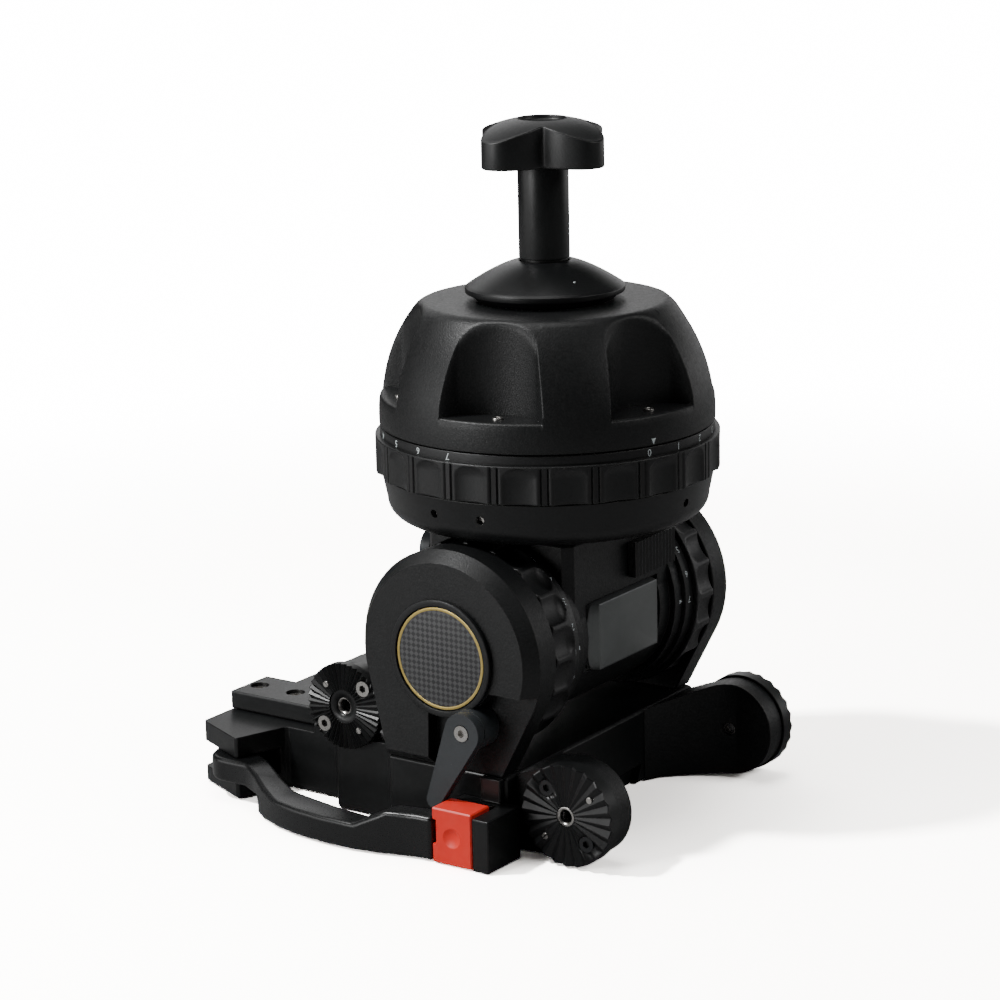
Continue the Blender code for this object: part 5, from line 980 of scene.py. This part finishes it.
def makeRosette(name, side, s, t):
    # Teeth: height falls from each ridge to each groove in a straight line, and with the distance inwards
    columns = s["count"] * 4
    turn = np.linspace(0, 2 * pi, columns, endpoint=False)
    wave = np.abs((turn * s["count"] / (2 * pi)) % 1 * 2 - 1)
    share = np.array([0.0, 0.04, 0.25, 0.6, 0.975, 1.0])[:, None]
    reach = s["hub"] + (s["radius"] - s["hub"]) * share
    drop = t["depth"] * (reach / s["radius"]) * (1 - wave)[None, :]
    faceZ = s["out"] - drop - np.where(share >= 1, 0.25, 0.0)
    faceR = reach + 0 * drop
    sideR = np.array([s["radius"], s["radius"], s["radius"] - 0.3])[:, None] + 0 * wave[None, :]
    back = s["out"] - s["thickness"]
    sideZ = np.array([s["out"] - t["depth"] - 0.9, back + 0.3, back])[:, None] + 0 * wave[None, :]
    middle = s["out"] - s["hubDrop"]
    innerR = np.array([t["bore"], t["bore"], s["hub"] - 0.15])[:, None] + 0 * wave[None, :]
    innerZ = np.array([back, middle, middle])[:, None] + 0 * wave[None, :]
    radiusGrid = np.concatenate([innerR, faceR, sideR])
    heightGrid = np.concatenate([innerZ, faceZ, sideZ])
    y, z = s["centre"]
    grid = np.stack([side * heightGrid, y + radiusGrid * np.cos(turn), z + radiusGrid * np.sin(turn)], axis=-1)
    made = gridObject(name + "_teeth", grid, "satinBlack", ring=True, sharp=12.0)
    bores = []
    for angle in s["screws"]:
        place = onFace(s, angle, t["screwCircle"])
        ends = [(side * (s["out"] - t["screwDepth"]), *place), (side * (s["out"] + 2), *place)]
        bores.append(pin("bore", *ends, t["screwBore"], "satinBlack", 40))
    seat = [(side * (s["out"] - 3), y, z), (side * (s["out"] + 2), y, z)]
    bores.append(pin("seat", *seat, s["insert"] + 0.12, "satinBlack", 48))
    return carve(made, bores)


def makeInsert(name, side, s, t):
    top, low = s["out"] - s["insertDrop"], s["out"] - 2.95
    profile = rounded([(t["bore"], low, 0), (s["insert"], low, 0), (s["insert"], top, 0.15), (t["bore"] + 0.45, top, 0),
                       (t["bore"], top - 0.5, 0)], 3)
    y, z = s["centre"]
    return gridObject(name, spun(profile, 64, "X", (0, y, z), side), "screwSteel", ring=True)


for end, shape in rosetteShapes.items():
    for side, word in ((-1, "near"), (1, "far")):
        name = end + "_rosette_" + word
        settle(makeRosette(name, side, shape, rosetteTeeth), "platform", name)
        settle(makeInsert(name + "_insert", side, shape, rosetteTeeth), "platform", slot="steel")
        for number, angle in enumerate(shape["pins"], 1):
            place = onFace(shape, angle, shape["pinCircle"])
            ends = [(side * (shape["out"] - 3), *place), (side * (shape["out"] - 0.15), *place)]
            stud = pin(f"{name}_pin_{number}", *ends, rosetteTeeth["pin"], "screwSteel", 28)
            settle(soften(stud, 0.15, 2, 60), "platform", slot="steel")

# Each front bracket's inner face: the bright end of the thread
bracketFace = {"face": 59.7, "bore": 3.0, "wall": 0.6, "play": 0.12, "deep": 3.0}


def makeBracketFace(word, side, s):
    y, z = rosetteShapes["front"]["centre"]
    out, deep = s["face"], s["face"] + s["deep"]
    outer, inner = s["bore"] - s["play"], s["bore"] - s["wall"]
    profile = rounded([(inner, deep, 0), (outer, deep, 0), (outer, out, 0.1), (inner, out, 0.1)], 3)
    sleeve = gridObject(f"front_bracket_{word}_thread", spun(profile, 64, "X", (0, y, z), side), "screwSteel", ring=True)
    settle(sleeve, "platform", slot="steel")


for side, word in ((-1, "near"), (1, "far")):
    makeBracketFace(word, side, bracketFace)
print("stage: rosettes made")


# ---- pad on the barrel ----

padShape = {"axis": 86.8, "face": 42.0, "edge": 38.6, "back": 36.5, "half": 24.0, "bulge": 5.2, "tall": 15.2, "corner": 0.7}


def makePad(s):
    # A flat face whose ends fall away in a curved chamfer: each end's outer edge is half an ellipse
    rise = np.linspace(-pi / 2, pi / 2, 25)
    tall = s["tall"] * np.sin(rise)
    swell = s["bulge"] * np.cos(rise) ** 0.8
    rows = []
    for share, depth, lift in ((0.0, s["face"], 1.0), (0.10, s["face"] - 0.25, 0.3), (1.0, s["edge"], 0.0), (1.0, s["back"], 0.0)):
        x = s["half"] - s["corner"] * lift + share * swell
        z = tall * (1 - lift * s["corner"] / s["tall"])
        outline = np.concatenate([np.stack([x, z], axis=-1), np.stack([-x, z], axis=-1)[::-1]])
        rows.append(levelOf(outline, -depth, "Y"))
    return gridObject("housing_pad_plate", np.stack(rows) + np.array([0, 0, s["axis"]]), "padGrey", sharp=24.0)


settle(makePad(padShape), "tilt_head", "housing_pad")
print("stage: pad made")


# ---- dial numbers and index marks ----

dialMarks = {
    "size": 4.3, "proud": 0.06,
    # body, how far out, where along the axis, the first digit's angle, degrees to the next
    "pan": ("pan_ring", 74.7, 174.05, (85.1, 249.4), 13.4),
    "near": ("near_ring", 44.7, -47.5, (105.4,), -14.93),
    "far": ("far_ring", 44.7, 47.5, (-16.8,), 15.2),
}


def digitShape(text, size, depth):
    # A digit as points in millimetres and its faces, from a text curve
    curve = bpy.data.curves.new("digit", "FONT")
    curve.body, curve.size, curve.extrude = text, size, depth
    curve.align_x, curve.align_y = "CENTER", "CENTER"
    holder = bpy.data.objects.new("digit", curve)
    mesh = bpy.data.meshes.new_from_object(holder)
    points = np.empty(len(mesh.vertices) * 3)
    mesh.vertices.foreach_get("co", points)
    faces = [list(face.vertices) for face in mesh.polygons]
    bpy.data.objects.remove(holder)
    bpy.data.curves.remove(curve)
    bpy.data.meshes.remove(mesh)
    return points.reshape(-1, 3), faces


def wrapped(points, reach, along, angle, axis):
    # Lays flat points on a cylinder, their tops pointing away from the pan ring or along the tilt ring
    x, y, z = points.T
    if axis == "Z":
        turn = angle - x / reach
        return np.stack([(reach + z) * np.cos(turn), (reach + z) * np.sin(turn), along - y], axis=-1)
    turn = angle + y / reach
    return np.stack([along - x, -(reach + z) * np.sin(turn), 86.8 + (reach + z) * np.cos(turn)], axis=-1)


def makeMarks(name, shapes, look):
    mesh = bpy.data.meshes.new(name)
    points, faces = [], []
    for place, members in shapes:
        shift = sum(len(p) for p in points)
        points.append(place)
        faces += [[i + shift for i in face] for face in members]
    mesh.from_pydata((np.concatenate(points) * mm).tolist(), [], faces)
    shape = bmesh.new()
    shape.from_mesh(mesh)
    bmesh.ops.remove_doubles(shape, verts=shape.verts, dist=2e-6)
    shape.to_mesh(mesh)
    shape.free()
    return unitObject(name, mesh, look)


def triangle(width, tall, depth):
    # A flat triangle as points and faces, its tip towards +y
    flat = np.array([(-width / 2, -tall / 2), (width / 2, -tall / 2), (0, tall / 2)])
    points = np.concatenate([np.insert(flat, 2, -depth, axis=1), np.insert(flat, 2, depth, axis=1)])
    return points, [[2, 1, 0], [3, 4, 5], [0, 1, 4, 3], [1, 2, 5, 4], [2, 0, 3, 5]]


for dial in ("pan", "near", "far"):
    body, reach, along, starts, step = dialMarks[dial]
    members = []
    for start in starts:
        for number in range(8):
            points, faces = digitShape(str(number), dialMarks["size"], dialMarks["proud"])
            angle = radians(start + number * step)
            members.append((wrapped(points, reach, along, angle, "Z" if dial == "pan" else "X"), faces))
    settle(makeMarks(dial + "_dial_numbers", members, "markWhite"), body, slot="black_plastic")

points, faces = triangle(2.3, 2.6, 0.1)
index = makeMarks("pan_index_mark", [(wrapped(points, 74.95, 178.6, radians(251.0), "Z"), faces)], "markWhite")
settle(index, "ball", slot="black_paint")
members = []
for side in (-1, 1):
    points, faces = triangle(1.9, 1.9, 0.06)
    points = points[:, [1, 0, 2]] * np.array([-side, 1, 1])
    members.append((wrapped(points, 43.0, side * 42.6, pi / 2, "X"), faces))
settle(makeMarks("housing_index_marks", members, "markWhite"), "tilt_head", slot="black_paint")
print("stage: numbers and marks made")


# ---- small screws and specks ----

pocketScrew = {"turn": 1.4, "circle": 66.0, "floor": 189.9, "radius": 2.3, "head": 0.9, "socket": 1.15}


def screwHead(name, place, s, look):
    # A low round head with a hexagonal socket, standing on its place
    profile = rounded([(0.05, -0.2, 0), (s["radius"], -0.2, 0), (s["radius"], s["head"], 0.25), (0.05, s["head"], 0)], 4)
    made = gridObject(name, spun(profile, 36, centre=place), look)
    x, y, z = place
    return carve(made, [pin("socket", (x, y, z + 0.25), (x, y, z + 2), s["socket"], look, 6)])


for number in range(6):
    turn = radians(193.9 + pocketScrew["turn"] + 60 * number)
    place = (pocketScrew["circle"] * cos(turn), pocketScrew["circle"] * sin(turn), pocketScrew["floor"])
    settle(screwHead(f"pocket_screw_{number + 1}", place, pocketScrew, "screwSteel"), "ball", slot="steel")
dotTurn = radians(241.5)
dot = (27.5 * cos(dotTurn), 27.5 * sin(dotTurn), 241.3)
dotPiece = pin("cap_dot", dot, (dot[0], dot[1], dot[2] + 0.45), 0.55, "markWhite", 20)
settle(dotPiece, "clamp_cap", slot="black_anodised")
print("stage: small screws made")
